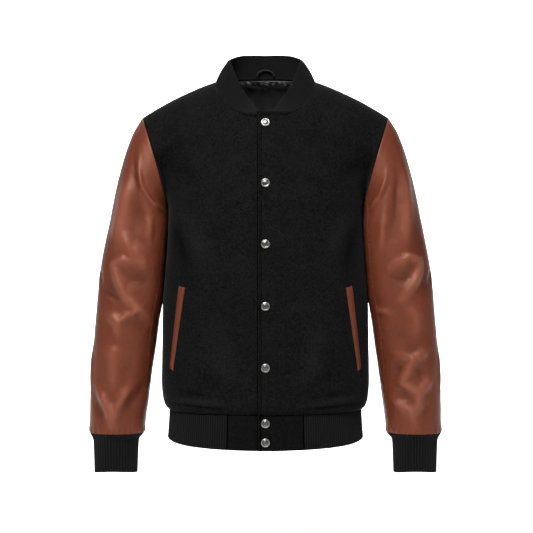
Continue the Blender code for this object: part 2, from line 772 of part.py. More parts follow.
def collar_edge(turn):
    """Foot and free edge of the collar on the +X side."""
    foot = neck_point(turn)
    step = 0.5
    run = neck_point(min(180.0, turn + step)) - neck_point(max(0.0, turn - step))
    forward = Vector((-run.x, -run.y, 0.0)).normalized()
    inward = Vector((-run.y, run.x, 0.0)).normalized()
    free = foot + inward * read(COLLAR_EDGE, "turn", turn, "inward")
    free += forward * read(COLLAR_EDGE, "turn", turn, "forward")
    free.z += read(COLLAR_EDGE, "turn", turn, "rise")
    return foot, free


def collar_turns():
    """Turns of the collar's columns from one end round the back to the other."""
    turns = []
    for index in range(CURVE_SAMPLES + 1):
        turns.append(mix(COLLAR_START_TURN, 180.0, index / CURVE_SAMPLES))
    lengths = [0.0]
    for before, after in zip(turns, turns[1:]):
        lengths.append(lengths[-1] + (neck_point(after) - neck_point(before)).length)
    ribs = round(lengths[-1] / COLLAR_RIB_PITCH)
    half = []
    index = 0
    for number in range(2 * ribs + 1):
        target = lengths[-1] * number / (2 * ribs)
        while index < CURVE_SAMPLES and lengths[index] < target:
            index += 1
        half.append(turns[index])
    return half + [360.0 - turn for turn in reversed(half[:-1])]


def make_collar(name):
    """The standing rib collar, which tapers to the centre front."""
    turns = collar_turns()
    feet = []
    frees = []
    for turn in turns:
        mirrored = turn > 180.0
        foot, free = collar_edge(360.0 - turn if mirrored else turn)
        if mirrored:
            foot.x *= -1.0
            free.x *= -1.0
        feet.append(foot)
        frees.append(free)
    outer = [[], []]
    inner = [[], []]
    last = len(turns) - 1
    for column, (foot, free) in enumerate(zip(feet, frees)):
        before = feet[max(0, column - 1)]
        after = feet[min(last, column + 1)]
        along = after - before
        normal = along.cross(free - foot).normalized()
        up = (free - foot).normalized()
        lift = rib_lift(column, COLLAR_RIB_HEIGHT)
        for row, point in enumerate((foot + up * COLLAR_CLEARANCE, free)):
            outer[row].append(point + normal * lift)
            inner[row].append(point - normal * (RIB_WALL - COLLAR_RIB_HEIGHT))
    return wall_from_grids(name, outer, inner, RIB)


# Pieces on the panels -------------------------------------------------------------


def make_welt(name, side):
    """A leather pocket welt, made from the front's points moved out."""
    top = Vector(WELT_TOP)
    foot = Vector(WELT_FOOT)
    outer = []
    inner = []
    for step in range(WELT_STEPS + 1):
        outer_row = []
        inner_row = []
        middle = top.lerp(foot, step / WELT_STEPS)
        level = level_of(middle.y)
        slant = abs(body_frame(-1, share_at(-1, middle.x, level), level)[1].y)
        for edge in (-0.5, 0.0, 0.5):
            x = middle.x + WELT_WIDTH * edge * slant
            level = level_of(middle.y + WELT_WIDTH * edge * WELT_END_SLOPE)
            point, normal = body_frame(-1, share_at(-1, x, level), level)
            outer_row.append(point + normal * (WELT_GAP + WELT_WALL))
            inner_row.append(point + normal * WELT_GAP)
        for row in (outer_row, inner_row):
            for point in row:
                point.x *= side
        outer.append(outer_row)
        inner.append(inner_row)
    return wall_from_grids(name, outer, inner, LEATHER, flip=side > 0)


def snap_seat(z):
    """Where a snap sits on the upper front or tab, and the way it faces."""
    if z > WAIST_SEAM_Z:
        level = level_of(z)
        if level > 1.0:
            top = top_edge(-1, 0.0).z
            level = 1.0 + math.degrees(math.asin((z - UNDERARM_Z) / (top - UNDERARM_Z))) / 90.0
        point, normal = body_frame(-1, 0.0, level)
        point = Vector((0.0, point.y - SEAM_GAP / 2.0, z))
        normal.x = 0.0
        return point + normal * LAP_LIFT, normal.normalized()
    rise = band_point(0.0, WAIST_SEAM_Z) - band_point(0.0, HEM_Z)
    normal = Vector((0.0, -rise.z, rise.y)).normalized()
    return band_point(0.0, z) + Vector((0.0, -LAP_LIFT, 0.0)), normal


def make_snap(name, z):
    """A domed snap cap with a rolled rim."""
    seat, facing = snap_seat(z)
    side = Vector((1.0, 0.0, 0.0))
    up = facing.cross(side).normalized()
    radius = SNAP_DIAMETER / 2.0
    points = []
    for share, height in SNAP_PROFILE:
        for index in range(SNAP_SIDES):
            angle = 2.0 * math.pi * index / SNAP_SIDES
            spoke = side * math.cos(angle) + up * math.sin(angle)
            points.append(seat + facing * (REST_GAP + height * SNAP_HEIGHT) + spoke * radius * share)
    faces = [list(range(SNAP_SIDES))[::-1]]
    for ring in range(len(SNAP_PROFILE) - 1):
        for index in range(SNAP_SIDES):
            following = (index + 1) % SNAP_SIDES
            low = ring * SNAP_SIDES
            high = low + SNAP_SIDES
            faces.append([low + index, low + following, high + following, high + index])
    last = (len(SNAP_PROFILE) - 1) * SNAP_SIDES
    faces.append([last + index for index in range(SNAP_SIDES)])
    return add_solid(name, points, faces, SILVER)


def make_lining(name):
    """The satin lining of the back where it shows through the neck.

    It keeps the back's own rows and columns, so that its flats lie along the back's.
    """
    near = []
    far = []
    shares = column_shares(0.0, BACK_NECK_COLUMNS)[:BACK_NECK_COLUMNS]
    signed_shares = [-share for share in reversed(shares[1:])] + shares
    for rise in upper_rises()[-LINING_ROWS:]:
        near_row = []
        far_row = []
        for signed_share in signed_shares:
            point, normal = body_frame(1, abs(signed_share), 1.0 + rise / 90.0)
            point.y += SEAM_GAP / 2.0
            depth = WOOL_WALL + LINING_GAP
            if rise >= 90.0:
                point.z -= LINING_DROP
            for row, inset in ((near_row, depth), (far_row, depth + LINING_WALL)):
                place = point - normal * inset
                if signed_share < 0.0:
                    place.x *= -1.0
                row.append(place)
        near.append(near_row)
        far.append(far_row)
    return wall_from_grids(name, near, far, SATIN, flip=True)


def make_hanger_loop(name):
    """A corded loop that stands inside the collar at the centre back."""
    path = []
    for step in range(LOOP_STEPS + 1):
        angle = math.pi * step / LOOP_STEPS
        height = LOOP_FOOT_RISE + LOOP_RISE * math.sin(angle) ** LOOP_ARCH_POWER
        x = LOOP_HALF_SPREAD * math.cos(angle)
        foot, free = collar_edge(180.0 - abs(x) * LOOP_TURN_PER_MM)
        point = foot + (free - foot).normalized() * height
        path.append(Vector((x, point.y - LOOP_STAND_OFF, point.z)))
    points = []
    for index, centre in enumerate(path):
        before = path[max(0, index - 1)]
        after = path[min(LOOP_STEPS, index + 1)]
        run = (after - before).normalized()
        first = run.cross(Vector((0.0, 1.0, 0.0))).normalized()
        second = run.cross(first)
        for side in range(LOOP_SIDES):
            angle = 2.0 * math.pi * side / LOOP_SIDES
            points.append(centre + (first * math.cos(angle) + second * math.sin(angle)) * LOOP_RADIUS)
    faces = [list(range(LOOP_SIDES))[::-1]]
    for ring in range(LOOP_STEPS):
        for side in range(LOOP_SIDES):
            following = (side + 1) % LOOP_SIDES
            low = ring * LOOP_SIDES
            high = low + LOOP_SIDES
            faces.append([low + side, low + following, high + following, high + side])
    last = LOOP_STEPS * LOOP_SIDES
    faces.append([last + side for side in range(LOOP_SIDES)])
    return add_solid(name, points, faces, SATIN)


# Assembly -------------------------------------------------------------------------


def main():
    """Clear the scene and make every piece."""
    for existing in list(bpy.data.objects):
        bpy.data.objects.remove(existing, do_unlink=True)
    make_back("back")
    make_front("front_left", 1, lapped=True)
    make_front("front_right", -1, lapped=False)
    for word, side in (("left", 1), ("right", -1)):
        make_sleeve_part("sleeve_upper_" + word, side, True, UPPER_COLUMNS)
        make_sleeve_part("sleeve_under_" + word, side, False, UNDER_COLUMNS)
        make_cuff("cuff_" + word, side)
        make_welt("pocket_welt_" + word, side)
    make_waistband_rib("waistband_rib")
    make_tab("waistband_tab_left", 1, lapped=True)
    make_tab("waistband_tab_right", -1, lapped=False)
    make_collar("collar")
    make_lining("lining_back")
    make_hanger_loop("hanger_loop")
    for number, z in enumerate(SNAP_Z, start=1):
        make_snap("snap_cap_" + str(number), z)


main()
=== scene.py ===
"""Looks of the varsity jacket: cloth, leather, rib knit, satin, snaps and stitching.

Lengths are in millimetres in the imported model's frame and are written to the meshes in
metres. +Z is up, the front faces -Y and +X is the wearer's left.
"""

import math
from collections import namedtuple

import bpy
import numpy as np
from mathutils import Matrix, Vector


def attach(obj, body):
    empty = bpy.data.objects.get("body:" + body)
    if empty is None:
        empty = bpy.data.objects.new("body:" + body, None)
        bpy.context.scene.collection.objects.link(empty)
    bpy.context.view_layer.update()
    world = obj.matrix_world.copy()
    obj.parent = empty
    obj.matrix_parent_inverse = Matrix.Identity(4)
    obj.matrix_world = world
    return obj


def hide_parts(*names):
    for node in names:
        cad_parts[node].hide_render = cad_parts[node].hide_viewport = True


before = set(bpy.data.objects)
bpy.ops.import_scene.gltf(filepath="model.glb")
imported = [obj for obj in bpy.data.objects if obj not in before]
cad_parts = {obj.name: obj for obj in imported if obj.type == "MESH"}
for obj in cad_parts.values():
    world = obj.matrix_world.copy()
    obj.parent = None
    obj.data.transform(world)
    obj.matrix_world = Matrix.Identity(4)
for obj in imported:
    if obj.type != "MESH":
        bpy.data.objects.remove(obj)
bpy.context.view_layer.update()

MILLIMETRE = 0.001
SEED = 7
BACK_SEED = SEED + 2

# The garment's own sizes, most of them as in the part's source ------------------------

WOOL_WALL = 2.5
LEATHER_WALL = 2.0
RIB_WALL = 2.2
LINING_WALL = 1.0
SEAM_GAP = 0.3

WAIST_SEAM_Z = -580.0
WAIST_SEAM_HALF_WIDTH = 170.5
HEM_Z = -640.0
BAND_MIDDLE_Z = -610.0
HEM_ARCH_RISE = 7.0
HEM_CORNER_RISE = 5.0
HEM_CORNER_POWER = 12
UNDERARM_Z = -222.0
UNDERARM_X = 172.0
SHOULDER_TIP_X = 218.0
SHOULDER_TIP_Z = -63.0
SHOULDER_BOW = 5.0
ARMHOLE_HALF_DEPTH = 64.0
ARMHOLE_BOW = 4.0
ARMHOLE_BOW_FADE = 60.0
CHEST_POWER = 2.4
SHOULDER_ROUND = 2.0
FRONT_NECK_ROUND = 1.5
BACK_NECK_ROUND = 2.6
UNDERARM_TUCK = 14.0
UNDERARM_TUCK_RISE = 0.6

NECK_HALF_WIDTH = 86.0
NECK_MIDDLE_Y = 4.0
NECK_FRONT_REACH = 97.0
NECK_BACK_REACH = 70.0
NECK_SHARE = 0.32
NECK_MARGIN = 0.9
NECK_CORNER_BLUR = 0.16
NECK_CORNER_SAMPLES = 9
COLLAR_START_TURN = 6.0

LAP_HALF_WIDTH = 14.0
LAP_FADE_X = 45.0
LAP_LIFT = WOOL_WALL + 0.8
TAB_REACH = 66.0
CUFF_TOP_Z = -618.0
CUFF_END_Z = -685.0
CUFF_CORNER_DROP = 4.0
CUFF_MIDDLE_Y = -22.0
BESIDE_BODY_TURN = 28.0

SNAP_Z = (-83.0, -186.0, -289.0, -394.0, -498.0, -593.0, -625.0)
WELT_TOP = (142.5, -362.0)
WELT_FOOT = (161.5, -505.0)
WELT_WIDTH = 14.5
WELT_FOOT_WIDTH = 9.6
WELT_END_SLOPES = (0.22, 0.5)
WELT_WALL = 1.6
WELT_FACE = WELT_WALL - 0.2
WELT_GAP = 0.8

# Profile of a snap cap from its rim's foot to the middle: radius and height.
SNAP_PROFILE = (
    (6.4, 0.1), (7.0, 0.15), (7.4, 0.5), (7.5, 1.0), (7.35, 1.5), (7.0, 1.95), (6.5, 2.3),
    (6.0, 2.45), (5.6, 2.42), (5.3, 2.25), (5.05, 2.18), (4.7, 2.3), (4.0, 2.62), (3.0, 2.95),
    (2.0, 3.12), (1.0, 3.18), (0.35, 3.2),
)
SNAP_SIDES = 64
SNAP_REST_GAP = 0.35
SNAP_LEVEL_STEP = 0.003

# The wool pressed up round a cap, as a ring in the same way.
PRESS_PROFILE = ((8.1, -0.3), (8.1, 0.15), (6.9, 0.35), (6.6, 0.15), (6.6, -0.3), (8.1, -0.3))

LOOP_HALF_SPREAD = 15.0
LOOP_RISE = 11.0
LOOP_RADIUS = 2.0
LOOP_FOOT_RISE = 4.0
LOOP_STAND_OFF = 4.0
LOOP_ARCH_POWER = 0.9
LOOP_TURN_PER_MM = 0.75
LOOP_TWIST = 0.16
LOOP_TWIST_PER_MM = 1.1
LOOP_STEPS = 96
LOOP_SIDES = 24

Torso = namedtuple("Torso", "z half_width front back")
TORSO = (
    Torso(HEM_Z, 173.5, 121.0, 114.0),
    Torso(BAND_MIDDLE_Z, 172.0, 120.0, 113.0),
    Torso(WAIST_SEAM_Z, WAIST_SEAM_HALF_WIDTH, 119.0, 112.0),
    Torso(-572.0, 177.0, 124.5, 118.0),
    Torso(-558.0, 181.5, 127.5, 121.0),
    Torso(-530.0, 184.0, 129.0, 122.0),
    Torso(-470.0, 183.0, 130.0, 123.0),
    Torso(-391.0, 182.0, 131.0, 123.0),
    Torso(-345.0, 178.5, 131.0, 122.5),
    Torso(-309.0, 175.5, 130.5, 122.0),
    Torso(-260.0, 172.5, 129.5, 121.0),
    Torso(UNDERARM_Z, UNDERARM_X, 129.0, 120.5),
)

NeckPoint = namedtuple("NeckPoint", "turn z")
NECK = (
    NeckPoint(0.0, -64.0),
    NeckPoint(20.0, -61.5),
    NeckPoint(42.0, -51.0),
    NeckPoint(62.0, -27.0),
    NeckPoint(78.0, -7.0),
    NeckPoint(90.0, 2.0),
    NeckPoint(105.0, 3.2),
    NeckPoint(120.0, 6.5),
    NeckPoint(145.0, 14.0),
    NeckPoint(165.0, 16.2),
    NeckPoint(180.0, 16.5),
)

CollarEdge = namedtuple("CollarEdge", "turn inward forward rise")
COLLAR_EDGE = (
    CollarEdge(COLLAR_START_TURN, 2.5, 4.0, 1.5),
    CollarEdge(20.0, 14.0, 15.5, 4.5),
    CollarEdge(42.0, 32.0, 7.0, 20.0),
    CollarEdge(62.0, 30.0, 2.0, 27.0),
    CollarEdge(90.0, 23.0, 0.0, 37.0),
    CollarEdge(120.0, 18.0, 0.0, 41.0),
    CollarEdge(150.0, 14.0, 0.0, 41.5),
    CollarEdge(180.0, 13.0, 0.0, 41.0),
)

Sleeve = namedtuple("Sleeve", "station outer_x outer_z inner_x inner_z middle_y half_y flat")
SLEEVE = (
    Sleeve(0.0, SHOULDER_TIP_X, SHOULDER_TIP_Z, UNDERARM_X, UNDERARM_Z,
           0.0, ARMHOLE_HALF_DEPTH, 0.0),
    Sleeve(20.0, 234.0, -89.0, 172.8, -229.0, 0.0, 67.0, 0.0),
    Sleeve(55.0, 251.0, -135.0, 173.2, -240.0, 0.0, 70.0, 0.5),
    Sleeve(95.0, 264.0, -185.0, 173.4, -256.0, -1.0, 71.0, 1.0),
    Sleeve(140.0, 276.0, -245.0, 174.6, -280.0, -2.0, 71.0, 1.2),
    Sleeve(190.0, 288.0, -305.0, 176.9, -312.0, -4.0, 70.0, 1.2),
    Sleeve(228.0, 294.5, -347.0, 179.9, -347.0, -6.0, 68.0, 1.0),
    Sleeve(273.0, 298.0, -391.0, 183.5, -391.0, -9.0, 65.0, 0.6),
    Sleeve(312.0, 301.0, -430.0, 188.5, -430.0, -12.0, 62.0, 0.3),
    Sleeve(353.0, 304.0, -470.0, 193.5, -470.0, -14.0, 59.0, 0.0),
    Sleeve(396.0, 306.5, -512.0, 199.5, -512.0, -17.0, 55.0, 0.0),
    Sleeve(440.0, 309.0, -555.0, 205.0, -555.0, -19.0, 51.0, 0.0),
    Sleeve(478.0, 309.5, -593.0, 210.0, -593.0, -21.0, 48.5, 0.0),
    Sleeve(503.0, 310.0, CUFF_TOP_Z, 212.5, CUFF_TOP_Z, -22.0, 47.0, 0.0),
)
SLEEVE_END = SLEEVE[-1].station

SleeveSeam = namedtuple("SleeveSeam", "station turn")
SLEEVE_SEAM = (
    SleeveSeam(0.0, 140.0),
    SleeveSeam(150.0, 148.0),
    SleeveSeam(232.0, 149.0),
    SleeveSeam(285.0, 142.0),
    SleeveSeam(350.0, 145.0),
    SleeveSeam(420.0, 152.0),
    SleeveSeam(SLEEVE_END, 152.0),
)

Cuff = namedtuple("Cuff", "z middle_x half_x half_y")
CUFF = (
    Cuff(CUFF_END_Z, 263.4, 38.0, 33.5),
    Cuff(-632.0, 263.2, 40.4, 38.5),
    Cuff(CUFF_TOP_Z, 261.25, 48.75, 47.0),
)

ARMHOLE_PLANE = np.array((SHOULDER_TIP_Z - UNDERARM_Z, 0.0, UNDERARM_X - SHOULDER_TIP_X))
ARMHOLE_PLANE = ARMHOLE_PLANE / np.linalg.norm(ARMHOLE_PLANE)

# Creases ------------------------------------------------------------------------------

# A sleeve's folds follow paths of places: along the sleeve in millimetres and round it
# in degrees, 0 the outer line, 90 the front, 180 the inner line, 270 the back. A wide
# fold is a plain swell, and a narrow one has a trough on each side.
Fold = namedtuple("Fold", "width height path")
RIGHT_SLEEVE = -1
LEFT_SLEEVE = 1
BOTH_SLEEVES = 0
SLEEVE_FOLDS = {
    RIGHT_SLEEVE: (
        Fold(6.5, 2.0, ((26, 58), (39, 70), (59, 90), (64, 112), (44, 148))),
        Fold(10.9, -1.5, ((23, 50), (82, 80), (139, 93), (156, 102))),
        Fold(15.0, 3.2, ((60, 52), (81, 58), (151, 56), (190, 74))),
        Fold(9.9, 1.8, ((96, 108), (143, 106), (172, 110))),
        Fold(9.9, 2.0, ((146, 64), (180, 90), (206, 108), (210, 124))),
        Fold(8.0, 2.8, ((209, 108), (203, 94), (199, 76), (205, 60), (232, 72), (264, 89),
             (282, 106), (296, 134), (312, 146))),
        Fold(12.0, -1.7, ((224, 86), (236, 122))),
        Fold(10.9, -0.9, ((226, 48), (262, 66))),
        Fold(6.5, -1.2, ((246, 34), (257, 60), (268, 78))),
        Fold(9.0, 2.2, ((289, 58), (306, 78), (332, 83))),
        Fold(7.5, 2.2, ((282, 110), (295, 92), (308, 80))),
        Fold(10.9, -1.2, ((304, 98), (317, 134))),
        Fold(10.9, 2.2, ((344, 64), (370, 76), (405, 81), (424, 84))),
        Fold(9.9, 0.8, ((350, 66), (362, 98))),
        Fold(8.5, -0.8, ((372, 112), (392, 100))),
        Fold(9.9, 2.8, ((422, 48), (458, 73), (488, 85))),
        Fold(9.9, 2.8, ((414, 116), (454, 93), (488, 85))),
        Fold(10.9, -1.5, ((412, 154), (440, 128), (468, 102))),
        Fold(9.9, -1.2, ((444, 42), (476, 66))),
    ),
    LEFT_SLEEVE: (
        Fold(7.5, 2.0, ((34, 84), (53, 108), (50, 142))),
        Fold(9.9, -1.4, ((50, 64), (77, 76), (125, 92), (152, 100))),
        Fold(13.0, 3.0, ((50, 46), (110, 58), (152, 72), (186, 88))),
        Fold(9.9, 1.8, ((96, 98), (140, 106), (172, 114))),
        Fold(8.0, 3.0, ((214, 102), (204, 90), (192, 74), (200, 54), (215, 57), (243, 75),
             (268, 90))),
        Fold(11.0, -1.5, ((218, 74), (236, 100))),
        Fold(10.9, -0.9, ((226, 40), (262, 62))),
        Fold(12.0, 2.2, ((276, 88), (296, 70), (330, 76))),
        Fold(6.5, 1.6, ((285, 152), (289, 112))),
        Fold(10.9, -0.9, ((318, 108), (340, 92))),
        Fold(9.5, 2.8, ((362, 116), (373, 88), (392, 98), (412, 110), (430, 81), (451, 82),
             (468, 95), (493, 90))),
        Fold(9.5, 2.2, ((352, 56), (373, 84))),
        Fold(9.5, 2.2, ((404, 52), (430, 78))),
        Fold(9.0, 1.8, ((444, 140), (456, 116), (468, 98))),
        Fold(9.0, -1.2, ((380, 110), (394, 124))),
        Fold(9.9, -1.2, ((382, 74), (404, 70))),
        Fold(9.9, -1.2, ((430, 112), (446, 104))),
        Fold(9.9, -1.1, ((446, 58), (474, 72))),
    ),
    BOTH_SLEEVES: (
        Fold(15.0, 3.0, ((196, 312), (214, 232))),
        Fold(14.0, -3.0, ((226, 300), (240, 236))),
        Fold(15.0, 2.5, ((262, 318), (280, 240))),
        Fold(18.0, -2.5, ((60, 286), (150, 246))),
        Fold(18.0, 2.2, ((330, 276), (430, 262))),
        Fold(14.0, 2.2, ((450, 300), (486, 262))),
        Fold(6.5, 2.2, ((196, 300), (214, 320), (262, 276), (286, 250))),
        Fold(6.5, 1.9, ((288, 296), (306, 270), (336, 262))),
        Fold(7.0, 1.9, ((96, 300), (160, 282))),
        Fold(7.0, 1.9, ((34, 214), (74, 268))),
        Fold(7.0, 2.2, ((420, 300), (452, 276), (482, 266))),
        Fold(7.0, 2.0, ((424, 240), (456, 256), (482, 264))),
        Fold(8.0, -2.0, ((352, 300), (398, 320))),
        Fold(9.0, 1.4, ((350, 8), (430, 18))),
        Fold(8.0, -1.5, ((214, 14), (240, 36))),
    ),
}
FOLD_SCALE = 2.0
WIDE_FOLD = 10.0
FOLD_END = 0.3
ARMHOLE_FADE = 40.0
CUFF_FADE = 18.0
CREST_FLANK = 2.0
CREST_TROUGH = 0.32

# Creases of the body, seen from in front or behind: face is -1 or 1, then the two ends
# by x and z. Those just above the waistband are the same on both sides of the front.
Crease = namedtuple("Crease", "face start_x start_z end_x end_z width height")
HEM_CREASES = (
    Crease(-1, 172.0, -562.0, 50.0, -571.0, 2.8, -1.7),
    Crease(-1, 166.0, -553.0, 60.0, -562.0, 6.0, 2.4),
    Crease(-1, 150.0, -541.0, 90.0, -549.0, 5.0, -1.4),
)
BODY_CREASES = HEM_CREASES + tuple(
    crease._replace(start_x=-crease.start_x, end_x=-crease.end_x) for crease in HEM_CREASES
) + (
    Crease(-1, -150.0, -218.0, -92.0, -330.0, 16.0, 1.8),
    Crease(-1, -158.0, -250.0, -128.0, -352.0, 13.0, -1.8),
    Crease(-1, 150.0, -214.0, 104.0, -322.0, 16.0, 1.8),
    Crease(-1, 158.0, -246.0, 132.0, -345.0, 13.0, -1.8),
    Crease(-1, -176.0, -150.0, -112.0, -170.0, 14.0, -1.5),
    Crease(-1, 176.0, -148.0, 116.0, -174.0, 14.0, -1.5),
    Crease(-1, -84.0, -420.0, -60.0, -548.0, 20.0, 1.4),
    Crease(-1, 92.0, -400.0, 74.0, -552.0, 20.0, 1.4),
    Crease(-1, 120.0, -500.0, 60.0, -545.0, 14.0, -1.4),
    Crease(-1, -118.0, -512.0, -62.0, -540.0, 14.0, -1.4),
    Crease(1, -160.0, -552.0, -20.0, -560.0, 5.0, -1.5),
    Crease(1, 162.0, -553.0, 30.0, -559.0, 5.0, -1.5),
    Crease(1, -120.0, -540.0, 90.0, -545.0, 9.0, 1.2),
    Crease(1, -152.0, -216.0, -84.0, -318.0, 16.0, 2.0),
    Crease(1, 150.0, -220.0, 92.0, -336.0, 16.0, 2.0),
    Crease(1, -168.0, -160.0, -96.0, -196.0, 14.0, -1.8),
    Crease(1, 170.0, -156.0, 90.0, -190.0, 14.0, -1.8),
    Crease(1, -70.0, -380.0, -36.0, -540.0, 22.0, 1.8),
    Crease(1, 64.0, -350.0, 48.0, -536.0, 22.0, 1.8),
    Crease(1, 6.0, -420.0, 0.0, -545.0, 18.0, -1.6),
    Crease(1, 128.0, -470.0, 96.0, -550.0, 15.0, -1.6),
    Crease(1, -126.0, -486.0, -88.0, -548.0, 15.0, -1.6),
)
CREASE_END = 0.15

# Rows and columns of the grids --------------------------------------------------------

INNER_SKIP = 4
EDGE_PLACES = (0.0, 0.25, 0.6, 1.1)
KNIT_EDGE_PLACES = (0.0, 0.3, 0.8, 1.4)
SLEEVE_EDGE_PLACES = (0.0, 0.4, 1.0, 1.8)
SLEEVE_SEAM_PLACES = (0.15, 0.5, 1.0, 1.8)
WELT_EDGE_PLACES = (0.0, 0.2, 0.5, 1.0)
WELT_END_PLACES = (0.0, 0.004, 0.01, 0.018)
COLLAR_EDGE_SHARES = (0.0, 0.008, 0.02, 0.04)

BLOUSE_RISES = (0.0, 0.5, 1.1, 2.0, 3.2, 4.6, 6.2, 8.0, 10.0, 12.0, 14.0, 16.5)
BLOUSE_TOP = 19.0
LOWER_ROWS = 104
UPPER_ROWS = 117
TOP_EDGE_LEVELS = (1.9945, 1.997, 1.9985)
THINNED_ROW = 20
THINNED_STEP = 3
SIDE_EDGE_SHARES = (0.9935, 0.9965, 0.9985)
FRONT_COLUMNS = 105
BACK_COLUMNS = 101

SLEEVE_RADIUS = 45.0
SLEEVE_ROW_STEP = 2.4
UPPER_SLEEVE_STEP = 1.6
UNDER_SLEEVE_STEP = 1.8
RIB_STEPS = 8
CUFF_RIBS = 48
KNIT_PITCH = 4.2
CUFF_ROW_STEP = 2.4
BAND_ROW_STEP = 2.6
COLLAR_ROW_SHARE = 0.07
TAB_STEP = 1.2
TAB_ROW_STEP = 1.6
WELT_ROW_SHARE = 0.02
WELT_STEP = 0.8
FINE_STEPS = 6000
HALVINGS = 30
SLOPE_STEP = 0.5

# Finish of edges, seams and sewing ----------------------------------------------------

EDGE_ROUND = 1.1
LEATHER_EDGE_ROUND = 1.0
KNIT_EDGE_ROUND = 1.3
KNIT_INNER_ROUND = 1.0
GROOVE_DEPTH = 0.8
GROOVE_WIDTH = 1.1
NECK_GROOVE_WIDTH = 1.6
# Painted shade: edges and sewn troughs are darkened in the depth the wool colours by.
PAINTED_EDGE_SHADE = 5.0
PAINTED_EDGE_SHADE_WIDTH = 1.3
ON_EDGE = 0.01
STITCH_LENGTH = 2.7
STITCH_GAP = 0.7
STITCH_START = 0.3
STITCH_KEPT_OFF = 2.0
PLACKET_SKIP = 4
WELT_SKIP = 2
STITCH_SIDES = 5
THREAD_RADIUS = 0.26
PLACKET_STITCH = 6.0
NECK_STITCH = 9.0
TAB_STITCH = 2.0
WELT_STITCH = 1.8
LINING_STITCH = 1.8

StitchRing = namedtuple("StitchRing", "share width lift")
STITCH = (
    StitchRing(0.0, 0.25, -0.07),
    StitchRing(0.12, 0.9, 0.13),
    StitchRing(0.5, 1.0, 0.21),
    StitchRing(0.88, 0.9, 0.13),
    StitchRing(1.0, 0.25, -0.07),
)

# Relief of the cloth: slow waves, and swells that run beside an edge.
WAVE_COUNT = 7
Wave = namedtuple("Wave", "height pitch")
PANEL_WAVE = Wave(0.45, 46.0)
SLEEVE_WAVE = Wave(0.35, 34.0)
TAB_WAVE = Wave(0.3, 30.0)
WELT_WAVE = Wave(0.12, 16.0)
LINING_WAVE = Wave(1.8, 26.0)
PUCKER_WAVE = Wave(0.35, 9.0)

Swell = namedtuple("Swell", "height place reach")
TOP_ROLL = Swell(0.25, 2.5, 1.6)
PLACKET_ROLL = Swell(0.3, 3.0, 2.2)
ARMHOLE_ROLL = Swell(0.5, 4.0, 3.5)
CUFF_GATHER = Swell(0.7, 6.0, 6.0)
LINING_GATHER = Swell(0.7, 8.0, 8.0)
LINING_BULGE = Swell(0.8, 6.0, 7.0)
LINING_BAND_EDGE = Swell(-0.9, 15.0, 2.2)
# Painted highlight along the satin band below the collar.
LINING_PAINTED_HIGHLIGHT = Swell(1.0, 8.0, 8.5)

CALM_REACH = 14.0
HEM_CALM_REACH = 3.0
OPENING_CALM = 0.25
PUCKER_REACH = 7.0
CUFF_GATHER_TURN = 13.0
LINING_GATHER_PITCH = 11.0
SIDE_PRESS = 1.6
SIDE_PRESS_TURN = 40.0
PRESS_START = 6.0
PRESS_END = 300.0
WELT_CROWN = 0.5
WELT_CROWN_REACH = 5.0

KNIT_HEIGHT = 1.0
INNER_KNIT_SHARE = 0.6
RIB_POWER = 0.8
COLLAR_KNIT_HEIGHT = 0.5
# Offsets to the knit's stored depth, outer then inner face, as painted shade on the knit's colour.
KNIT_PAINTED_SHADES = (0.0, -0.3)
COLLAR_PAINTED_SHADES = (-0.3, -0.05)
TAB_OVERLAP = 1.2
BAND_TUCK = 1.5

COLLAR_SINK = 2.4
COLLAR_BOW = 1.2
COLLAR_SIDE_BOW = 3.2
COLLAR_END_REACH = 40.0
COLLAR_BACK_TURN = 110.0

LINING_SHARE = 0.30
LINING_LOW_LEVEL = 1.34
LINING_HIGH_LEVEL = 1.999
LINING_COLUMNS = 161
LINING_ROWS = 97
LINING_GAP = 0.5
LINING_FULLNESS = 2.2
LINING_INSET = WOOL_WALL + LINING_GAP + LINING_WALL + LINING_FULLNESS

# Shine and grain of the materials -----------------------------------------------------

WOOL_SHINE = 0.05
LEATHER_SHINE = 0.55
LEATHER_GLOW = (1.0, 0.62, 0.48, 1.0)
KNIT_ROW = 2.3
SNAP_RADIUS = 8.0

# Stage, light and camera, in metres ---------------------------------------------------

FLOOR_Z = -0.83
STAGE_HALF_WIDTH = 9.0
STAGE_FRONT_Y = -9.0
STAGE_BACK_Y = 6.0
SWEEP_RADIUS = 2.5
SWEEP_STEPS = 24
WALL_TOP_Z = 6.0

JACKET_MIDDLE = (0.0, 0.0, -0.33)
Light = namedtuple("Light", "name place target width height power spread")
LIGHTS = (
    Light("key", (-0.64, -2.3, 1.97), (0.0, 0.0, -0.45), 1.15, 0.9, 27.5, 90.0),
    Light("fill", (1.9, -2.0, 0.6), JACKET_MIDDLE, 0.8, 1.6, 6.0, 180.0),
    Light("top", (0.1, -0.3, 2.1), JACKET_MIDDLE, 1.4, 1.0, 6.0, 180.0),
    Light("wall", (0.0, 1.8, 2.4), (0.0, 5.6, 0.2), 3.4, 0.8, 260.0, 100.0),
    Light("floor", (0.0, 1.7, 1.4), (0.0, 1.9, FLOOR_Z), 2.6, 1.2, 90.0, 120.0),
)
WORLD_STRENGTH = 0.08

CAMERA_PLACE = (0.0018, -2.5, -0.327)
CAMERA_LENS = 94.9
SENSOR_WIDTH = 36.0

# Small helpers ------------------------------------------------------------------------


def mix(first, second, share):
    """Value between two numbers or arrays."""
    return first + (second - first) * share


def ease(share):
    """Smooth step from 0 to 1."""
    share = np.clip(share, 0.0, 1.0)
    return share * share * (3.0 - 2.0 * share)


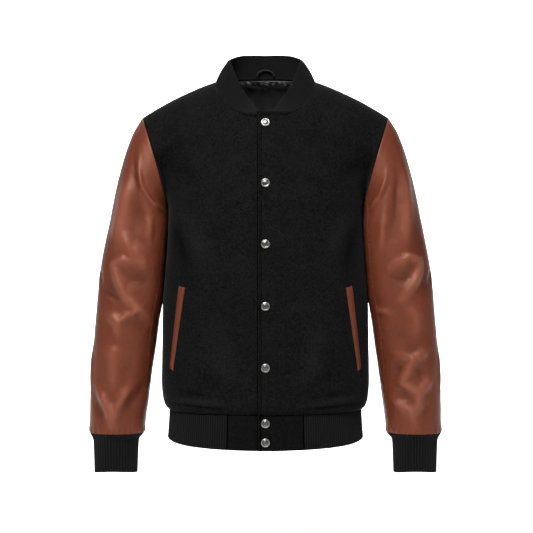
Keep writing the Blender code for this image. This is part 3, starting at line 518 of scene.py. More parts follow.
def read(table, key, at, column):
    """Read a column of a table at an array of keys, on a smooth curve through its rows."""
    keys = np.array([getattr(row, key) for row in table])
    values = np.array([getattr(row, column) for row in table])
    rises = np.diff(values) / np.diff(keys)
    slopes = np.empty(len(keys))
    slopes[0] = rises[0]
    slopes[-1] = rises[-1]
    product = rises[:-1] * rises[1:]
    total = rises[:-1] + rises[1:]
    total[total == 0.0] = 1.0
    slopes[1:-1] = np.where(product > 0.0, 2.0 * product / total, 0.0)
    at = np.clip(at, keys[0], keys[-1])
    index = np.clip(np.searchsorted(keys, at, side="left") - 1, 0, len(keys) - 2)
    span = keys[index + 1] - keys[index]
    t = (at - keys[index]) / span
    start = (2.0 * t ** 3 - 3.0 * t ** 2 + 1.0) * values[index]
    end = (3.0 * t ** 2 - 2.0 * t ** 3) * values[index + 1]
    start_pull = (t ** 3 - 2.0 * t ** 2 + t) * span * slopes[index]
    end_pull = (t ** 3 - t ** 2) * span * slopes[index + 1]
    return start + end + start_pull + end_pull


def stack(x, y, z):
    """An array of points from three arrays of coordinates."""
    return np.stack(np.broadcast_arrays(x, y, z), axis=-1).astype(float)


def unit(vectors):
    """Vectors made one long."""
    return vectors / np.maximum(np.linalg.norm(vectors, axis=-1, keepdims=True), 1e-9)


def mirror(side, *grids):
    """Turn grids of points and normals from the +X side to a side of 1 or -1."""
    for grid in grids:
        grid[..., 0] *= side


def thin(grid):
    """The rows and columns of a fine grid that its inner face keeps."""
    return grid[::INNER_SKIP, ::INNER_SKIP]


def run_lengths(line):
    """How far each point of a line is from its start, along it."""
    return np.pad(np.cumsum(np.linalg.norm(np.diff(line, axis=0), axis=1)), (1, 0))


def bell(place, middle, reach):
    """A smooth hump from 0 to 1 round a middle."""
    return np.exp(-((place - middle) / reach) ** 2)


def swell(distance, row):
    """Height of a swell that runs beside an edge."""
    return row.height * bell(distance, row.place, row.reach)


def grid_normals(points, sign, ring=False):
    """Unit normals of a grid of points, turned by sign."""
    if ring:
        padded = np.concatenate([points[:, -2:], points, points[:, :2]], axis=1)
        across = np.gradient(padded, axis=1)[:, 2:-2]
    else:
        across = np.gradient(points, axis=1)
    along = np.gradient(points, axis=0)
    return unit(np.cross(across, along)) * sign


def edge_distances(points):
    """Distances of a grid's points from its first and last column and row."""
    across = np.linalg.norm(np.diff(points, axis=1), axis=2)
    along = np.linalg.norm(np.diff(points, axis=0), axis=2)
    first_column = np.pad(np.cumsum(across, axis=1), ((0, 0), (1, 0)))
    first_row = np.pad(np.cumsum(along, axis=0), ((1, 0), (0, 0)))
    last_column = first_column[:, -1:] - first_column
    last_row = first_row[-1:] - first_row
    return first_column, last_column, first_row, last_row


def round_off(distance, radius=EDGE_ROUND):
    """How far a rounded edge drops from the face, at a distance from the edge."""
    inside = np.clip(1.0 - distance / radius, 0.0, 1.0)
    return radius * (1.0 - np.sqrt(1.0 - inside ** 2))


def rounding(edges, radius=EDGE_ROUND):
    """Drop of a face with several rounded edges, from the distances to them."""
    return sum(round_off(distance, radius) for distance in edges)


def groove(distance, width=GROOVE_WIDTH):
    """The trough that a row of stitches pulls into the cloth."""
    return -GROOVE_DEPTH * bell(distance, 0.0, width)


def crowded(length, step, edge_places, blocks):
    """Places from 0 to length, even but for closer ones at both ends, in whole blocks."""
    ends = np.array(edge_places)
    middle = length - 2.0 * ends[-1]
    count = max(2, round(middle / step))
    while (2 * (len(ends) - 1) + count) % blocks:
        count += 1
    even = np.linspace(ends[-1], length - ends[-1], count + 1)
    return np.concatenate([ends[:-1], even, length - ends[-2::-1]])


def crest(distance, width):
    """Height of a crease at a distance from its line, with a slight trough beside it."""
    return mix(bell(distance, 0.0, width), bell(distance, 0.0, CREST_FLANK * width), -CREST_TROUGH)


def segment_share(place_a, place_b, start, end):
    """Share along a segment and distance from it, for places in a plane."""
    run_a = end[0] - start[0]
    run_b = end[1] - start[1]
    share = (place_a - start[0]) * run_a + (place_b - start[1]) * run_b
    share = np.clip(share / (run_a ** 2 + run_b ** 2), 0.0, 1.0)
    distance = np.hypot(place_a - start[0] - run_a * share, place_b - start[1] - run_b * share)
    return share, distance


# Meshes -------------------------------------------------------------------------------


def grid_faces(first, rows, columns, ring):
    """Quads of a grid of points that are numbered row by row."""
    spans = columns if ring else columns - 1
    row, column = np.meshgrid(np.arange(rows - 1), np.arange(spans), indexing="ij")
    near = first + row * columns + column
    far = first + row * columns + (column + 1) % columns
    return np.stack([near, far, far + columns, near + columns], axis=-1).reshape(-1, 4)


def grid_rims(first, rows, columns, ring):
    """Closed loops of point numbers round a grid's open edges."""
    place = first + np.arange(rows * columns).reshape(rows, columns)
    if ring:
        return [list(place[0]), list(place[-1][::-1])]
    loop = list(place[0, :-1]) + list(place[:-1, -1])
    loop += list(place[-1, :0:-1]) + list(place[:0:-1, 0])
    return [loop]


def cloth_object(name, outer, inner, materials, cloth, ring=False, flip=False):
    """A closed wall between a fine outer grid and an inner grid with fewer points.

    Cloth gives each outer point's place on the flat cloth in metres, as UVs.
    """
    rows, columns = outer.shape[:2]
    inner_rows, inner_columns = inner.shape[:2]
    skip = (rows - 1) // (inner_rows - 1)
    points = np.concatenate([outer.reshape(-1, 3), inner.reshape(-1, 3)]) * MILLIMETRE
    faces = grid_faces(0, rows, columns, ring).tolist()
    outer_count = len(faces)
    inner_first = rows * columns
    faces += grid_faces(inner_first, inner_rows, inner_columns, ring)[:, ::-1].tolist()
    rim_first = len(faces)
    fine_loops = grid_rims(0, rows, columns, ring)
    coarse_loops = grid_rims(inner_first, inner_rows, inner_columns, ring)
    for fine, coarse in zip(fine_loops, coarse_loops):
        for index, place in enumerate(coarse):
            following = coarse[(index + 1) % len(coarse)]
            edge = [fine[(index * skip + step) % len(fine)] for step in range(skip, -1, -1)]
            faces.append(edge + [place, following])
    if flip:
        faces = [face[::-1] for face in faces]
    mesh = bpy.data.meshes.new(name)
    mesh.from_pydata(points, [], faces)
    for material in materials:
        mesh.materials.append(material)
    indices = np.zeros(len(faces), dtype=np.int32)
    indices[outer_count:rim_first] = len(materials) - 1
    mesh.polygons.foreach_set("material_index", indices)
    places = np.concatenate([cloth.reshape(-1, 2), cloth[::skip, ::skip].reshape(-1, 2)])
    corners = np.empty(len(mesh.loops), dtype=np.int32)
    mesh.loops.foreach_get("vertex_index", corners)
    layer = mesh.uv_layers.new(name="cloth")
    layer.data.foreach_set("uv", places[corners].ravel())
    mesh.update()
    mesh.shade_smooth()
    piece = bpy.data.objects.new(name, mesh)
    bpy.context.scene.collection.objects.link(piece)
    return piece


def store_relief_and_painted_light(piece, outer_depth, inner_depth=np.zeros(0)):
    """Store per point the relief, with painted shade and highlights added, for the material."""
    values = np.zeros(len(piece.data.vertices))
    stored = np.concatenate([outer_depth.ravel(), inner_depth.ravel()])
    values[:stored.size] = stored
    layer = piece.data.attributes.new(name="depth", type="FLOAT", domain="POINT")
    layer.data.foreach_set("value", values.astype(np.float32))


def plain_object(name, points, faces, material, smooth_degrees=50.0):
    """A mesh object from points in millimetres."""
    mesh = bpy.data.meshes.new(name)
    mesh.from_pydata(np.asarray(points) * MILLIMETRE, [], faces)
    mesh.materials.append(material)
    mesh.update()
    mesh.shade_smooth()
    mesh.set_sharp_from_angle(angle=math.radians(smooth_degrees))
    piece = bpy.data.objects.new(name, mesh)
    bpy.context.scene.collection.objects.link(piece)
    return piece


def finish_piece(piece, nodes=()):
    """Tie a piece to the body and the nodes it stands for."""
    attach(piece, "root")
    if nodes:
        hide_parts(*nodes)
    return piece


def sewn_piece(name, node, base, outer, inner, materials, depth, flip=False):
    """A piece of cloth from its grids, with its node and its cut."""
    piece = cloth_object(name, outer, inner, materials, cloth_places(base), flip=flip)
    finish_piece(piece, (node,))
    # The stored depth holds the relief and the painted shade and highlights the material colours
    # by.
    store_relief_and_painted_light(piece, depth)
    return piece


# The body -----------------------------------------------------------------------------


def neck_point(turn, margin=0.0):
    """The foot of the collar, on the +X side, 0 degrees at the centre front."""
    angle = np.radians(turn)
    reach = np.where(np.asarray(turn) < 90.0, NECK_FRONT_REACH, NECK_BACK_REACH)
    x = (NECK_HALF_WIDTH + margin) * np.sin(angle)
    y = NECK_MIDDLE_Y - (reach + margin) * np.cos(angle)
    return stack(x, y, read(NECK, "turn", turn, "z"))


def top_edge(face, share):
    """Neckline and shoulder seam of a panel. Face is -1 in front and 1 at the back."""
    turn = 90.0 * np.minimum(share, NECK_SHARE) / NECK_SHARE
    neck = neck_point(turn if face < 0 else 180.0 - turn, NECK_MARGIN)
    seam = np.clip((share - NECK_SHARE) / (1.0 - NECK_SHARE), 0.0, 1.0)[..., None]
    high = neck_point(90.0, NECK_MARGIN)
    tip = np.array((SHOULDER_TIP_X, 0.0, SHOULDER_TIP_Z))
    shoulder = mix(high, tip, seam)
    shoulder[..., 2] += (4.0 * SHOULDER_BOW * seam * (1.0 - seam))[..., 0]
    return np.where((share <= NECK_SHARE)[..., None], neck, shoulder)


def depth_share(across, rise):
    """How deep the chest is at a share of its half width, 1 at the middle."""
    outer_power = CHEST_POWER + 0.8 * rise
    inner_power = CHEST_POWER - 1.0 * np.minimum(1.0, 2.0 * rise)
    return np.maximum(0.0, 1.0 - across ** outer_power) ** (1.0 / inner_power)


def lean_back(face, share, rise):
    """How much of the chest's depth is left at a rise between underarm, 0, and top, 1."""
    neck_round = FRONT_NECK_ROUND if face < 0 else BACK_NECK_ROUND
    power = mix(neck_round, SHOULDER_ROUND, ease((share - NECK_SHARE) / (1.0 - NECK_SHARE)))
    return np.maximum(0.0, 1.0 - rise ** power) ** (1.0 / power)


def lower_body(face, share, level):
    """Points of the body between the waist seam, level 0, and the underarm, 1."""
    column = "front" if face < 0 else "back"
    across = np.sin(np.radians(90.0 * share))
    z = mix(WAIST_SEAM_Z, UNDERARM_Z, level)
    x = read(TORSO, "z", z, "half_width") * across
    y = face * read(TORSO, "z", z, column) * depth_share(across, 0.0)
    return stack(x, y, z)


def soft_top(face, share, rise):
    """The top edge as lower rows feel it: its corner at the neck eases off downwards."""
    reach = NECK_CORNER_BLUR * (1.0 - rise) * np.minimum(1.0, 6.0 * np.minimum(share, 1.0 - share))
    offsets = np.linspace(-1.0, 1.0, NECK_CORNER_SAMPLES)
    tops = [top_edge(face, np.clip(share + reach * offset, 0.0, 1.0)) for offset in offsets]
    return sum(tops) / NECK_CORNER_SAMPLES


def upper_body(face, share, level):
    """Points of the body between the underarm, level 1, and neck and shoulder, 2."""
    column = "front" if face < 0 else "back"
    across = np.sin(np.radians(90.0 * share))
    rise = np.sin(np.radians(90.0 * (level - 1.0)))
    chest_y = face * read(TORSO, "z", UNDERARM_Z, column)
    bend = 2.0 * np.sqrt(np.maximum(0.0, rise * (1.0 - rise)))
    edge_x = mix(UNDERARM_X, SHOULDER_TIP_X, rise) - ARMHOLE_BOW * bend ** 2
    edge_y = face * ARMHOLE_HALF_DEPTH * bend
    top = soft_top(face, share, rise)
    x = edge_x * mix(across, top[..., 0] / SHOULDER_TIP_X, rise ** 2)
    z = mix(UNDERARM_Z, top[..., 2], rise)
    middle_top = top_edge(face, np.zeros(1))[0, 1]
    middle_y = mix(middle_top, chest_y, lean_back(face, 0.0, rise))
    own_y = mix(top[..., 1], chest_y * depth_share(across, rise), lean_back(face, share, rise))
    reach = share ** mix(UNDERARM_TUCK, 1.0, ease(rise / UNDERARM_TUCK_RISE))
    return stack(x, own_y + edge_y * (1.0 - own_y / middle_y) * reach, z)


def body_points(face, share, level):
    """Points of the body's outer face on its +X half."""
    share, level = np.broadcast_arrays(share, level)
    low = lower_body(face, share, np.minimum(level, 1.0))
    high = upper_body(face, share, np.maximum(level, 1.0))
    return np.where((level <= 1.0)[..., None], low, high)


def share_at(face, x, level):
    """Shares at which rows of the body reach a distance from the middle."""
    x, level = np.broadcast_arrays(x, level)
    low = np.zeros(x.shape)
    high = np.ones(x.shape)
    for _ in range(HALVINGS):
        middle = 0.5 * (low + high)
        short = body_points(face, middle, level)[..., 0] < x
        low = np.where(short, middle, low)
        high = np.where(short, high, middle)
    return 0.5 * (low + high)


def level_of(z):
    """Level of a height below the underarm."""
    return (z - WAIST_SEAM_Z) / (UNDERARM_Z - WAIST_SEAM_Z)


def body_levels():
    """Levels of the body's rows, close together at the blouse over the waist seam."""
    blouse = level_of(WAIST_SEAM_Z + np.array(BLOUSE_RISES))
    lower = level_of(np.linspace(WAIST_SEAM_Z + BLOUSE_TOP, UNDERARM_Z, LOWER_ROWS))
    upper = 1.0 + np.linspace(0.0, 1.0, UPPER_ROWS + 1)[1:]
    levels = np.concatenate([blouse, lower, upper[:-1], TOP_EDGE_LEVELS, upper[-1:]])
    spare = (len(levels) - 1) % INNER_SKIP
    return np.delete(levels, THINNED_ROW + THINNED_STEP * np.arange(spare))


def panel_shares(start, count):
    """Shares from a start to the side, closer at the side for a rounded seam edge."""
    even = np.linspace(0.0, 1.0, count - len(SIDE_EDGE_SHARES))
    steps = np.concatenate([even[:-1], SIDE_EDGE_SHARES, even[-1:]])
    return mix(start, 1.0, steps)


def crease_depth(creases, face, points):
    """Height of a panel's creases at its points."""
    depth = np.zeros(points.shape[:2])
    for crease in creases:
        if crease.face != face:
            continue
        start = (crease.start_x, crease.start_z)
        end = (crease.end_x, crease.end_z)
        share, distance = segment_share(points[..., 0], points[..., 2], start, end)
        taper = mix(CREASE_END, 1.0, np.sin(math.pi * share))
        depth += crease.height * taper * crest(distance, crease.width)
    return depth


def wave(place_a, place_b, pitch, seed):
    """Slow, uneven waves over a surface, from -1 to 1, the same every run."""
    random = np.random.default_rng(seed)
    total = np.zeros(np.broadcast(place_a, place_b).shape)
    for _ in range(WAVE_COUNT):
        angle = random.uniform(0.0, math.pi)
        length = pitch * random.uniform(0.6, 1.7)
        phase = random.uniform(0.0, 2.0 * math.pi)
        run = place_a * math.cos(angle) + place_b * math.sin(angle)
        total += np.sin(2.0 * math.pi * run / length + phase)
    return total / WAVE_COUNT


def uneven_row(place, pitch, drift):
    """A row of gathers or puckers, from -1 to 1, whose spacing drifts."""
    return np.sin(2.0 * math.pi * place / pitch + drift)


def lap_lift(x):
    """How far the upper front stands out over the lower one."""
    return LAP_LIFT * (1.0 - ease((x - LAP_HALF_WIDTH) / (LAP_FADE_X - LAP_HALF_WIDTH)))


def cloth_places(points):
    """Places on the flat cloth in metres, from distances along a grid's middle lines."""
    first_column, _, first_row, _ = edge_distances(points)
    middle = points.shape[1] // 2
    across = first_column - first_column[:, middle:middle + 1]
    along = first_row[:, middle:middle + 1] + np.zeros(points.shape[:2])
    return np.stack([across, along], axis=-1) * MILLIMETRE


def front_base(side, lapped):
    """A front panel's grid before creases, with its outward normals."""
    levels = body_levels()[:, None]
    lap_x = crowded(2.0 * LAP_HALF_WIDTH, 1.0, EDGE_PLACES, INNER_SKIP) - LAP_HALF_WIDTH
    lap_share = share_at(-1, np.abs(lap_x)[None, :], levels)
    start = lap_share[:, -1:]
    share = np.concatenate([lap_share, panel_shares(start, FRONT_COLUMNS)[:, 1:]], axis=1)
    sign = np.ones(share.shape)
    sign[:, :len(lap_x)] = np.where(lap_x < 0.0, -1.0, 1.0)
    points = body_points(-1, share, levels)
    points[..., 0] *= sign
    normals = grid_normals(points, 1.0)
    if lapped:
        points += normals * lap_lift(points[..., 0])[..., None]
    points[..., 1] -= SEAM_GAP / 2.0
    mirror(side, points, normals)
    return points, normals


def panel_grooves(points, open_column):
    """The troughs of the stitching below the collar and, in front, along the opening."""
    first_column, _, _, last_row = edge_distances(points)
    grooves = groove(last_row - NECK_STITCH, NECK_GROOVE_WIDTH)
    grooves *= np.abs(points[..., 0]) < NECK_HALF_WIDTH
    return grooves + (groove(first_column - PLACKET_STITCH) if open_column else 0.0)


def panel_relief(points, face, seed, open_column):
    """Outward relief of a panel: creases, slow waves, rounded edges and sewn grooves."""
    edges = edge_distances(points)
    first_column, last_column, first_row, last_row = edges
    relief = crease_depth(BODY_CREASES, face, points)
    relief += PANEL_WAVE.height * wave(points[..., 0], points[..., 2], PANEL_WAVE.pitch, seed)
    calm = ease(np.minimum(first_column, last_column) / CALM_REACH) * ease(last_row / CALM_REACH)
    calm *= ease(first_row / HEM_CALM_REACH)
    relief *= mix(OPENING_CALM, 1.0, calm) if open_column else calm
    relief += panel_grooves(points, open_column) + swell(last_row, TOP_ROLL) - rounding(edges)
    if open_column:
        relief += swell(first_column, PLACKET_ROLL)
    return relief


def relief_with_painted_seam_shade(relief, edges, grooves):
    """Relief with painted shade added: edges and sewn troughs are painted darker than folds."""
    near = np.minimum.reduce(edges)
    shade = relief - PAINTED_EDGE_SHADE * bell(near, 0.0, PAINTED_EDGE_SHADE_WIDTH)
    return shade + PAINTED_EDGE_SHADE / GROOVE_DEPTH * grooves


def wool_panel(name, points, normals, relief, grooves, flip):
    """A wool panel with its lining side."""
    edges = edge_distances(points)
    on_edge = thin(np.minimum.reduce(edges)) < ON_EDGE
    inner_depth = np.where(on_edge, EDGE_ROUND, 0.0) - WOOL_WALL
    outer = points + normals * relief[..., None]
    inner = thin(points) + thin(normals) * inner_depth[..., None]
    shade = relief_with_painted_seam_shade(relief, edges, grooves)
    return sewn_piece(name + "_wool", name, points, outer, inner, (WOOL, SATIN),
                      shade, flip)


def make_front(word, side, lapped):
    """A front panel. The lapped one lies on top and shows its stitched edge."""
    points, normals = front_base(side, lapped)
    relief = panel_relief(points, -1, SEED + side, True)
    grooves = panel_grooves(points, True)
    return wool_panel("front_" + word, points, normals, relief, grooves, side < 0)


def back_base():
    """The back panel's grid before creases, with its outward normals."""
    shares = panel_shares(0.0, BACK_COLUMNS)
    shares = np.concatenate([-shares[:0:-1], shares])[None, :]
    points = body_points(1, np.abs(shares), body_levels()[:, None])
    points[..., 0] *= np.sign(shares)
    normals = grid_normals(points, -1.0)
    points[..., 1] += SEAM_GAP / 2.0
    return points, normals


def make_back():
    """The back panel."""
    points, normals = back_base()
    relief = panel_relief(points, 1, BACK_SEED, False)
    return wool_panel("back", points, normals, relief, panel_grooves(points, False), True)


# The sleeves --------------------------------------------------------------------------


def sleeve_points(turn, station):
    """Points of the +X sleeve before its folds."""
    turn, station = np.broadcast_arrays(turn, station)
    angle = np.radians(turn)
    cosine = np.cos(angle)
    sine = np.sin(angle)
    power = 2.0 / (2.0 + read(SLEEVE, "station", station, "flat"))
    lower = cosine < 0.0
    arc_x = np.where(lower, -np.abs(cosine) ** power, cosine)
    arc_y = np.where(lower, np.copysign(np.abs(sine) ** power, sine), sine)
    outer_x, outer_z, inner_x, inner_z, middle_y, half_y = (
        read(SLEEVE, "station", station, column)
        for column in ("outer_x", "outer_z", "inner_x", "inner_z", "middle_y", "half_y"))
    x = (outer_x + inner_x) / 2.0 + (outer_x - inner_x) / 2.0 * arc_x
    z = (outer_z + inner_z) / 2.0 + (outer_z - inner_z) / 2.0 * arc_x
    fade = 1.0 - ease(station / ARMHOLE_BOW_FADE)
    return stack(x - ARMHOLE_BOW * fade * sine ** 2, middle_y - half_y * arc_y, z)


def path_distance(path, station, turn):
    """Distance from a fold's path, and the share along it of the nearest place."""
    near_turn = turn - 360.0 * np.round((turn - path[:, 1].mean()) / 360.0)
    lengths = np.hypot(*np.diff(path, axis=0).T)
    nearest = np.full(turn.shape, np.inf)
    place = np.zeros(turn.shape)
    for start, end, walked, length in zip(path, path[1:], np.cumsum(lengths) - lengths, lengths):
        share, distance = segment_share(station, near_turn, start, end)
        place = np.where(distance < nearest, walked + share * length, place)
        nearest = np.minimum(nearest, distance)
    return nearest, place / lengths.sum()


def fold_depth(side, turn, station):
    """Height of one sleeve's folds and finer creases."""
    turn, station = np.broadcast_arrays(turn, station)
    depth = np.zeros(turn.shape)
    for fold in SLEEVE_FOLDS[side] + SLEEVE_FOLDS[BOTH_SLEEVES]:
        distance, place = path_distance(np.array(fold.path, float), station, turn)
        taper = mix(FOLD_END, 1.0, ease(3.0 * np.minimum(place, 1.0 - place)))
        wide = fold.width > WIDE_FOLD
        section = bell(distance, 0.0, fold.width) if wide else crest(distance, fold.width)
        depth += FOLD_SCALE * fold.height * taper * section
    seam_fade = ease(station / ARMHOLE_FADE) * ease((SLEEVE_END - station) / CUFF_FADE)
    return depth * seam_fade * (1.0 - bell(turn, 180.0, BESIDE_BODY_TURN))


def sleeve_grid(side, upper):
    """Turns, stations, points and normals of a sleeve's upper or under piece, unfolded."""
    stations = crowded(SLEEVE_END, SLEEVE_ROW_STEP, SLEEVE_EDGE_PLACES, INNER_SKIP)
    seam = read(SLEEVE_SEAM, "station", stations, "turn")[:, None]
    first_turn, last_turn = (-seam, seam) if upper else (seam, 360.0 - seam)
    width = math.radians((last_turn - first_turn).max()) * SLEEVE_RADIUS
    step = UPPER_SLEEVE_STEP if upper else UNDER_SLEEVE_STEP
    across = crowded(width, step, SLEEVE_SEAM_PLACES, INNER_SKIP) / width
    turn = mix(first_turn, last_turn, across[None, :])
    station = stations[:, None] + 0.0 * turn
    points = sleeve_points(turn, station)
    normals = grid_normals(points, 1.0)
    points += ARMHOLE_PLANE * SEAM_GAP
    mirror(side, points, normals)
    return turn, station, points, normals


def sleeve_relief(side, turn, station, edges):
    """Fine relief of the leather: pressed sides, slow waves, puckered seams and gathers."""
    first_column, last_column, first_row, last_row = edges
    pressed = ease((station - PRESS_START) / 18.0) * ease((PRESS_END - station) / 40.0)
    relief = SIDE_PRESS * bell(turn, 180.0, SIDE_PRESS_TURN) * pressed
    slow = wave(station, turn, SLEEVE_WAVE.pitch, SEED + 10 + side)
    relief += SLEEVE_WAVE.height * slow * ease(first_row / 15.0)
    seam = np.minimum(first_column, last_column)
    pucker = uneven_row(station, PUCKER_WAVE.pitch, 2.0 * wave(station, turn, 60.0, SEED))
    relief += PUCKER_WAVE.height * pucker * np.exp(-seam / PUCKER_REACH) * ease(first_row / 8.0)
    gather = uneven_row(turn, CUFF_GATHER_TURN, 3.0 * wave(station, turn, 70.0, SEED + 5))
    relief += gather * swell(last_row, CUFF_GATHER) + swell(first_row, ARMHOLE_ROLL)
    return relief - rounding(edges, LEATHER_EDGE_ROUND)


def make_sleeve_part(word, side, which):
    """The upper or the under leather piece of a sleeve."""
    turn, station, points, normals = sleeve_grid(side, which == "upper")
    folds = fold_depth(side, turn, station)
    relief = folds + sleeve_relief(side, turn, station, edge_distances(points))
    outer = points + normals * relief[..., None]
    inner = thin(points + normals * (folds - LEATHER_WALL)[..., None])
    name = "sleeve_" + which + "_" + word
    return sewn_piece(name + "_leather", name, points, outer, inner, (LEATHER, SATIN),
                      relief,
                      side < 0)


# Rib knit -----------------------------------------------------------------------------


def knit_relief(rib_place, height):
    """Relief of rib knit: rounded ribs with narrow valleys."""
    return height * (np.abs(np.sin(math.pi * rib_place)) ** RIB_POWER - 1.0)


def knit_piece(name, node, base, normals, rib_place, rounded_rows, height=KNIT_HEIGHT,
               inner_shift=0.0, painted_shades=KNIT_PAINTED_SHADES, painted_light_inner_knit=None, ring=False, flip=False):
    """A rib-knit piece with ribs on both faces, which stand out by the height."""
    _, _, first_row, last_row = edge_distances(base)
    outer_relief = knit_relief(rib_place, height)
    inner_ribs = knit_relief(rib_place + 0.5, height * INNER_KNIT_SHARE)
    inner_relief = -RIB_WALL - inner_ribs
    for distance, rounded in zip((first_row, last_row), rounded_rows):
        if rounded:
            outer_relief = outer_relief - round_off(distance, KNIT_EDGE_ROUND)
            inner_relief = inner_relief + round_off(distance, KNIT_INNER_ROUND)
    outer = base + normals * outer_relief[..., None]
    inner = base + normals * inner_relief[..., None] + inner_shift
    along = first_row * MILLIMETRE
    places = np.stack([rib_place * KNIT_PITCH * MILLIMETRE + 0.0 * along, along], axis=-1)
    knits = (KNIT, painted_light_inner_knit or KNIT)
    piece = cloth_object(name, outer, inner, knits, places, ring=ring, flip=flip)
    finish_piece(piece, (node,))
    # The knit's colour darkens with this depth: painted shade in the rib valleys and from the
    # offsets.
    store_relief_and_painted_light(piece, outer_relief + painted_shades[0], inner_ribs + painted_shades[1])
    return piece


def rib_places(ribs, rows):
    """Places across a piece counted in ribs, the same in each row."""
    return np.tile(np.linspace(0.0, ribs, ribs * RIB_STEPS + 1), (rows, 1))


def even_turns(line_at, start):
    """Turns that part a line round the body into equal steps, and how many ribs it holds."""
    fine = np.linspace(start, 360.0 - start, FINE_STEPS)
    lengths = run_lengths(line_at(fine))
    ribs = round(lengths[-1] / KNIT_PITCH)
    return np.interp(np.linspace(0.0, lengths[-1], ribs * RIB_STEPS + 1), lengths, fine), ribs


def cuff_base(side):
    """A cuff's grid, from its open end up to the sleeve."""
    height = CUFF_TOP_Z - CUFF_END_Z - SEAM_GAP
    heights = CUFF_END_Z + crowded(height, CUFF_ROW_STEP, KNIT_EDGE_PLACES, 1)
    turns = np.arange(CUFF_RIBS * RIB_STEPS) * 2.0 * math.pi / (CUFF_RIBS * RIB_STEPS)
    angle, z = np.meshgrid(turns, heights)
    x = read(CUFF, "z", z, "middle_x") + read(CUFF, "z", z, "half_x") * np.cos(angle)
    y = CUFF_MIDDLE_Y - read(CUFF, "z", z, "half_y") * np.sin(angle)
    low = (CUFF_TOP_Z - z) / (CUFF_TOP_Z - CUFF_END_Z)
    points = stack(x * side, y, z - CUFF_CORNER_DROP * np.cos(angle) ** 2 * low ** 2)
    normals = grid_normals(points, -side, ring=True)
    return points, normals, np.degrees(angle)


def make_cuff(word, side):
    """A rib cuff, a closed ring."""
    points, normals, turn = cuff_base(side)
    name = "cuff_" + word
    piece = knit_piece(name + "_knit", name, points, normals, turn / 360.0 * CUFF_RIBS,
                       (True, False), ring=True, flip=side > 0)
    return piece


def band_points(turn, z):
    """The waistband's outer face; 0 degrees is the centre front, 90 the +X side."""
    turn, z = np.broadcast_arrays(turn, z)
    across = np.sin(np.radians(turn))
    ahead = np.cos(np.radians(turn)) > 0.0
    depth = np.where(ahead, -read(TORSO, "z", z, "front"), read(TORSO, "z", z, "back"))
    side_rise = HEM_ARCH_RISE * across ** 2 + HEM_CORNER_RISE * across ** HEM_CORNER_POWER
    side_rise = side_rise * np.clip((BAND_MIDDLE_Z - z) / (BAND_MIDDLE_Z - HEM_Z), 0.0, 1.0)
    x = read(TORSO, "z", z, "half_width") * across
    return stack(x, depth * depth_share(np.abs(across), 0.0), z + side_rise)


def tuck_depth(z):
    """How far the waistband's top edge goes in under the panels above it."""
    return BAND_TUCK * ease((z - WAIST_SEAM_Z + 1.0) / BAND_TUCK)


def make_waistband_rib():
    """The rib part of the waistband, from one plain tab round the back to the other."""
    start = math.degrees(math.asin((TAB_REACH - TAB_OVERLAP) / WAIST_SEAM_HALF_WIDTH))
    turns, ribs = even_turns(lambda turn: band_points(turn, WAIST_SEAM_Z), start)
    height = WAIST_SEAM_Z + BAND_TUCK - HEM_Z
    turn, z = np.meshgrid(turns, HEM_Z + crowded(height, BAND_ROW_STEP, KNIT_EDGE_PLACES, 1))
    points = band_points(turn, z)
    normals = grid_normals(points, 1.0)
    points -= normals * tuck_depth(z)[..., None]
    piece = knit_piece("waistband_knit", "waistband_rib", points, normals, rib_places(ribs, len(z)),
                       (True, False))
    return piece


def make_tab(word, side, lapped):
    """A plain end of the waistband, under the last two snaps."""
    across = crowded(LAP_HALF_WIDTH + TAB_REACH, TAB_STEP, EDGE_PLACES, INNER_SKIP) - LAP_HALF_WIDTH
    height = WAIST_SEAM_Z + BAND_TUCK - HEM_Z
    heights = HEM_Z + crowded(height, TAB_ROW_STEP, EDGE_PLACES, INNER_SKIP)
    x, z = np.meshgrid(across, heights)
    half_width = read(TORSO, "z", z, "half_width")
    wider = half_width / WAIST_SEAM_HALF_WIDTH - 1.0
    x = x + np.clip(x / TAB_REACH, 0.0, 1.0) * TAB_REACH * wider
    points = band_points(np.degrees(np.arcsin(x / half_width)), z)
    normals = grid_normals(points, 1.0)
    points -= normals * tuck_depth(z)[..., None]
    if lapped:
        points += normals * lap_lift(x)[..., None]
    mirror(side, points, normals)
    edges = edge_distances(points)
    grooves = groove(edges[0] - PLACKET_STITCH) + groove(edges[1] - TAB_STITCH)
    slow = wave(x, z, TAB_WAVE.pitch, SEED + 20 + side)
    relief = TAB_WAVE.height * slow + grooves - rounding(edges)
    outer = points + normals * relief[..., None]
    inner = thin(points - normals * WOOL_WALL)
    name = "waistband_tab_" + word
    return sewn_piece(name + "_wool", name, points, outer, inner, (TAB_WOOL,),
                      relief_with_painted_seam_shade(relief, edges, grooves),
                      side < 0)


def collar_edges(turn):
    """Foot and free edge of the collar, all round; past 180 degrees is the -X side."""
    half = np.where(turn > 180.0, 360.0 - turn, turn)
    foot = neck_point(half)
    ahead = neck_point(np.minimum(180.0, half + SLOPE_STEP))
    run = ahead - neck_point(np.maximum(0.0, half - SLOPE_STEP))
    run[..., 2] = 0.0
    run = unit(run)
    inward = stack(-run[..., 1], run[..., 0], 0.0)
    free = foot + inward * read(COLLAR_EDGE, "turn", half, "inward")[..., None]
    free -= run * read(COLLAR_EDGE, "turn", half, "forward")[..., None]
    free[..., 2] += read(COLLAR_EDGE, "turn", half, "rise")
    mirror(np.where(turn > 180.0, -1.0, 1.0), foot, free)
    return foot, free


